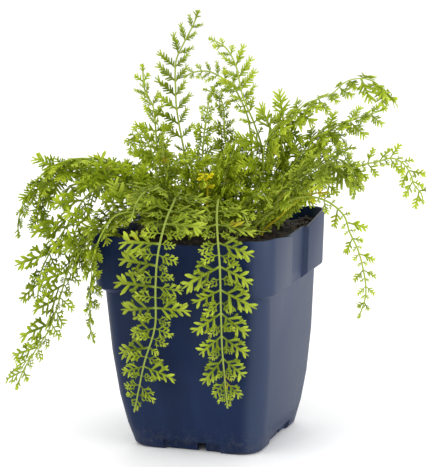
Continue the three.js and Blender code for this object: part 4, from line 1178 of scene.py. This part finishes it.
class LeafletForms:
    """Several like forms of each kind of leaflet, for long leaflets and for short ones."""

    def __init__(self):
        lobe, needle = make_lobe(), make_needle()
        self.lobe_size = {"antler": len(lobe.vertices), "claw": len(lobe.vertices)}
        self.needle_size = len(needle.vertices)
        self.stubs = alike(6, 50, lobe=needle, pairs=2, long=0.46, width=0.16, spread=50, first=0.2)
        self.kinds = {
            "antler": alike(8, 10, lobe=lobe, pairs=3, long=0.38, width=0.09, teeth=2, spread=50, first=0.1),
            "claw": alike(6, 70, lobe=lobe, pairs=3, long=0.34, width=0.11, spread=44, first=0.2),
            "spray": alike(8, 20, lobe=needle, pairs=5, long=0.38, width=0.085, teeth=1, spread=44),
            "feather": alike(6, 30, lobe=needle, pairs=6, long=0.24, width=0.085, spread=46),
            "fluff": alike(6, 40, lobe=needle, pairs=5, long=0.4, width=0.085, teeth=1, spread=42),
            "withered": alike(3, 60, lobe=needle, pairs=2, long=0.4, width=0.2),
        }

    def pick(self, kind, length, draws):
        """A form, and how many vertices each of its lobes has."""
        if length > STUB or kind == "withered":
            forms, size = self.kinds[kind], self.lobe_size.get(kind, self.needle_size)
        else:
            forms, size = self.stubs, self.needle_size
        return forms[int(draws.next() * len(forms))], size


# ---- Leaves as meshes ----

RIB_SIDES = 6
RIB_STEP = 2.2


def ring_place(rib, distance):
    """The matrix that puts a unit circle round the rib."""
    point, along, side, face = rib.at(distance)
    wide, thick = rib.half_width(distance), rib.thickness(distance) / 2
    columns = (*(side * wide), 0), (*(face * thick), 0), (*along, 0), (*point, 1)
    return Matrix(columns).transposed()


def draw_rib(sheet, rib):
    """A tapering tube along the rib."""
    steps = max(int(rib.length / RIB_STEP), 6)
    place = ring_place(rib, 0)
    bmesh.ops.create_circle(sheet, cap_ends=True, segments=RIB_SIDES, radius=1, matrix=place)
    edges = [edge for edge in sheet.edges if edge.is_boundary]
    for step in range(1, steps + 1):
        grown = bmesh.ops.extrude_edge_only(sheet, edges=edges)["geom"]
        edges = [g for g in grown if isinstance(g, bmesh.types.BMEdge)]
        ring = [g for g in grown if isinstance(g, bmesh.types.BMVert)]
        following = ring_place(rib, rib.length * step / steps)
        bmesh.ops.transform(sheet, matrix=following @ place.inverted(), verts=ring)
        place = following
    bmesh.ops.contextual_create(sheet, geom=edges)


def draw_leaflet(sheet, form, lobe_size, leaflet, layers, draws):
    """A form laid along a leaflet, bowed and perhaps mirrored, with a tone of its own for each lobe."""
    known = len(sheet.verts)
    sheet.from_mesh(form)
    sheet.verts.ensure_lookup_table()
    tone = draws.next()
    flip = 1 if draws.next() > 0.5 else -1
    bow = draws.between(-0.05, 0.16)
    length = leaflet.length
    for i, vert in enumerate(sheet.verts[known:]):
        if i % lobe_size == 0:
            lobe_tone = mix(tone, draws.next(), 0.5)
        x, y, z = vert.co
        vert[layers["tone"]] = lobe_tone
        vert[layers["reach"]] = min(x + 0.4 * abs(y), 1)
        # ridge is 1 on the top and bottom of each lobe, where the painted highlight goes, and 0 on its side
        # edges, where the painted shade goes.
        vert[layers["ridge"]] = 1 if abs(z) > 0.01 else 0
        ahead = (flip * y + bow * x * x) * length
        vert.co = leaflet.point(x * length, ahead) + leaflet.face * (z * length)


BOX_MARGIN = 0.1 * MM


def kept_in_box(point):
    low, high = CAD_BOX
    return Vector([min(max(v, a + BOX_MARGIN), b - BOX_MARGIN) for v, a, b in zip(point, low, high)])


def dress_leaf(leaf, forms, material):
    """The leaf's mesh, with its colour's play in three attributes: tone, reach and ridge."""
    sheet = bmesh.new()
    layers = {name: sheet.verts.layers.float.new(name) for name in ("tone", "reach", "ridge")}
    draws = Draws(leaf.seed + LOOKS_SEED)
    draw_rib(sheet, leaf.rib)
    # The rib has a middle tone and, with ridge at 1, no painted edge shade.
    for vert in sheet.verts:
        vert[layers["tone"]] = 0.5
        vert[layers["ridge"]] = 1
    for leaflet in leaf.leaflets:
        form, lobe_size = forms.pick(leaf.form["kind"], leaflet.length, draws)
        draw_leaflet(sheet, form, lobe_size, leaflet, layers, draws)
    bmesh.ops.recalc_face_normals(sheet, faces=sheet.faces)
    for vert in sheet.verts:
        vert.co = kept_in_box(vert.co * MM)
    piece = object_from(sheet, leaf.name.replace("leaf_", "frond_"), material, smooth_angle=70)
    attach(piece, "root")
    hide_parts(leaf.name)
    "leaf_" + leaf.form["colour"]


# ---- The whole plant ----


def grow_plant(finishes):
    room = Room()
    leaves = [Leaf(name, USUAL | form, i + 1) for i, (name, form) in enumerate(LEAVES.items())]
    for leaf in leaves:
        leaf.take_rib(room)
    for leaf in leaves:
        leaf.grow(room)
    for leaf in leaves:
        leaf.fill(room)
    forms = LeafletForms()
    for leaf in leaves:
        dress_leaf(leaf, forms, finishes[leaf.form["colour"]])


aim_camera()
light_studio()
lay_floor()
dress_pot(paint_pot())
dress_soil(paint_soil())
grow_plant({name: paint_leaf("leaf_" + name, *LEAF_COLOURS[name]) for name in LEAF_COLOURS})
